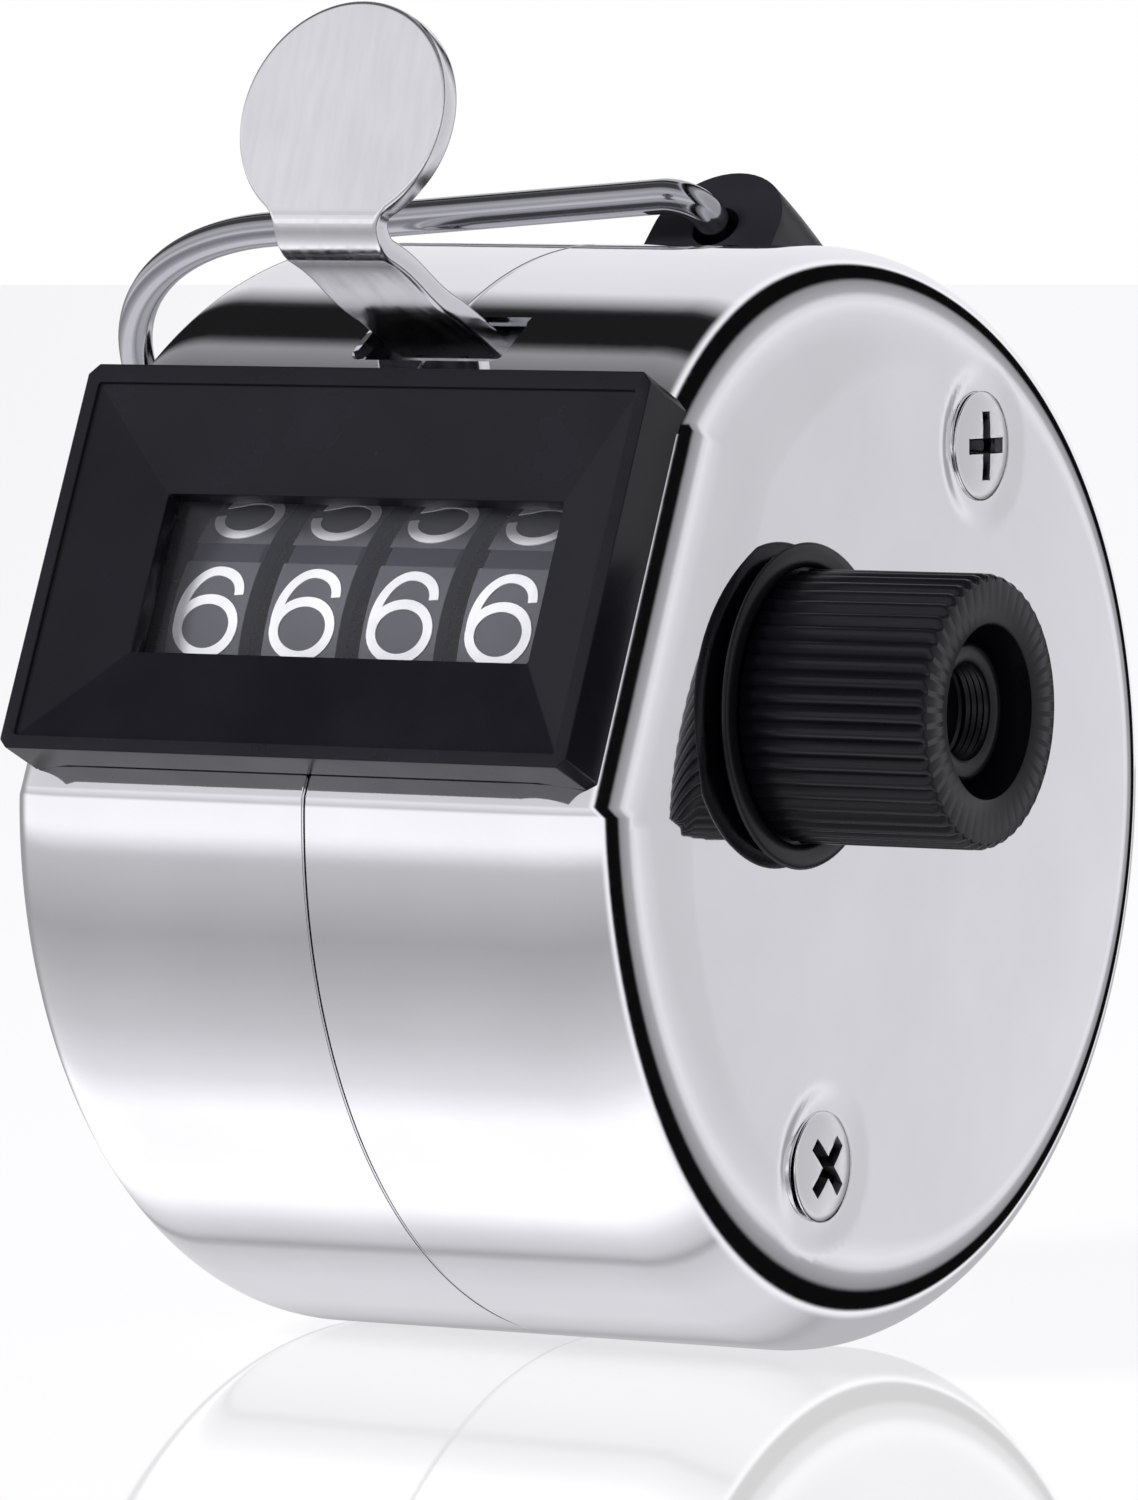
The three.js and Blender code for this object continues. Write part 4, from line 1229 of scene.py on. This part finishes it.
def mixed(tree, factor, first, second):
    """First colour where the factor is 0 and second where it is 1."""
    node = tree.nodes.new("ShaderNodeMix")
    node.data_type = "RGBA"
    tree.links.new(factor, node.inputs["Factor"])
    for socket, value in (("A", first), ("B", second)):
        if isinstance(value, tuple):
            node.inputs[socket].default_value = (*value, 1)
        else:
            tree.links.new(value, node.inputs[socket])
    return node.outputs["Result"]


def add_world():
    """A light tent with bands and a dark ring.

    A band's place is the slope of the wall that mirrors it towards view_back(), which is why the bands
    run straight along the barrel and into its corners. The tent itself is fixed to the world.
    """
    world = bpy.data.worlds.new("light_tent")
    bpy.context.scene.world = world
    world.use_nodes = True
    tree = world.node_tree
    direction = tree.nodes.new("ShaderNodeTexCoord").outputs["Generated"]
    half = tree.nodes.new("ShaderNodeVectorMath")
    half.operation = "ADD"
    half.inputs[1].default_value = view_back()
    tree.links.new(direction, half.inputs[0])
    slope = tree.nodes.new("ShaderNodeVectorMath")
    slope.operation = "NORMALIZE"
    tree.links.new(half.outputs["Vector"], slope.inputs[0])
    split = tree.nodes.new("ShaderNodeSeparateXYZ")
    tree.links.new(slope.outputs["Vector"], split.inputs[0])
    forward = math_node(tree, "MULTIPLY", split.outputs["Y"], -1)
    turn = math_node(tree, "ARCTAN2", split.outputs["Z"], forward)
    twice = math_node(tree, "SUBTRACT", math_node(tree, "MULTIPLY", turn, 2), TENT_SHIFT * RAD)
    share = math_node(tree, "ADD", math_node(tree, "DIVIDE", twice, 2 * math.pi), 0.5)
    tent = ramp(tree, share, [(a / 360 + 0.5, pale(v)) for a, v in TENT])
    lean = math_node(tree, "DIVIDE", math_node(tree, "ARCSINE", split.outputs["X"]), RAD)
    left_mask = blend(tree, lean, *LEFT_REACH)
    tent = mixed(tree, left_mask, tent, pale(LEFT_TONE))
    azimuth, elevation = (a * RAD for a in RING_AXIS_AT)
    axis = tree.nodes.new("ShaderNodeVectorMath")
    axis.operation = "DOT_PRODUCT"
    axis.inputs[1].default_value = (
        math.sin(azimuth) * math.cos(elevation),
        math.cos(azimuth) * math.cos(elevation),
        math.sin(elevation),
    )
    tree.links.new(direction, axis.inputs[0])
    away = math_node(tree, "DIVIDE", math_node(tree, "ARCCOSINE", axis.outputs["Value"]), math.pi)
    window = ramp(tree, away, [(a / 180, pale(v)) for a, v in RING_TONES])
    outside = blend(tree, away, RING_REACH[0] / 180, RING_REACH[1] / 180)
    tree.links.new(mixed(tree, outside, window, tent), tree.nodes["Background"].inputs["Color"])



def glow_material(name, strength):
    """A white glow, with its node tree, the glow and the output."""
    material = bpy.data.materials.new(name)
    material.use_nodes = True
    tree = material.node_tree
    tree.nodes.clear()
    output = tree.nodes.new("ShaderNodeOutputMaterial")
    glow = tree.nodes.new("ShaderNodeEmission")
    glow.inputs["Color"].default_value = (1, 1, 1, 1)
    glow.inputs["Strength"].default_value = strength
    return material, tree, glow, output


def add_floor():
    """A white, slightly shiny sheet that mirrors the counter."""
    half = FLOOR_HALF
    spots = ((-half, -half), (half, -half), (half, half), (-half, half))
    floor = new_object("floor", ([Vector((x, y, FLOOR_Z)) for x, y in spots], [(0, 1, 2, 3)]))
    material, tree, glow, output = glow_material("pale_floor", FLOOR_GLOW)
    matte = tree.nodes.new("ShaderNodeBsdfDiffuse")
    matte.inputs["Color"].default_value = (FLOOR_GREY, FLOOR_GREY, FLOOR_GREY, 1)
    mirror = tree.nodes.new("ShaderNodeBsdfGlossy")
    mirror.inputs["Roughness"].default_value = FLOOR_ROUGHNESS
    both = tree.nodes.new("ShaderNodeAddShader")
    mix = tree.nodes.new("ShaderNodeMixShader")
    mix.inputs["Fac"].default_value = FLOOR_MIRROR
    tree.links.new(glow.outputs[0], both.inputs[0])
    tree.links.new(matte.outputs[0], both.inputs[1])
    tree.links.new(both.outputs[0], mix.inputs[1])
    tree.links.new(mirror.outputs[0], mix.inputs[2])
    tree.links.new(mix.outputs[0], output.inputs["Surface"])
    floor.data.materials.append(material)
    floor.visible_glossy = False


def add_backdrop():
    """A pale dome that only the camera sees; the object mirrors and is lit by the tent."""
    radius, foot = FLOOR_HALF - 100, -200
    rings, sides = 12, 48
    turns = [2 * math.pi * k / sides for k in range(sides)]
    loops = [[Vector((0, 0, radius))]]
    for i in range(1, rings + 1):
        t = math.pi / 2 * i / rings
        reach, height = radius * math.sin(t), radius * math.cos(t)
        loops.append([Vector((reach * math.cos(a), reach * math.sin(a), height)) for a in turns])
    loops.append([Vector((v.x, v.y, foot)) for v in loops[-1]])
    dome = new_object("backdrop", loft(loops))
    material, tree, glow, output = glow_material("pale_backdrop", 1.0)
    tree.links.new(glow.outputs[0], output.inputs["Surface"])
    dome.data.materials.append(material)
    for ray in ("glossy", "diffuse", "shadow", "transmission"):
        setattr(dome, f"visible_{ray}", False)


def add_lamp(name, place, size, power):
    data = bpy.data.lights.new(name, "AREA")
    data.shape = "DISK"
    data.size = size * MM
    data.energy = power
    lamp = bpy.data.objects.new(name, data)
    lamp.location = Vector(place) * MM
    lamp.rotation_euler = (-Vector(place)).to_track_quat("-Z", "Y").to_euler()
    lamp.visible_glossy = False
    bpy.context.scene.collection.objects.link(lamp)


add_camera()
add_world()
add_floor()
add_backdrop()
add_lamp("key_lamp", (-260, -420, 300), 160, 3.0)
bpy.context.scene.view_settings.view_transform = "Standard"

add_shells()
add_bezel()
for wheel_name in ("thousands", "hundreds", "tens", "units"):
    add_wheel(wheel_name, wheel_name == "units", wheel_name != "thousands")
add_lever()
add_ring()
add_block()
add_screw("upper", 0)
add_screw("lower", 45)
add_knob()
add_collar()
finish_nodes()
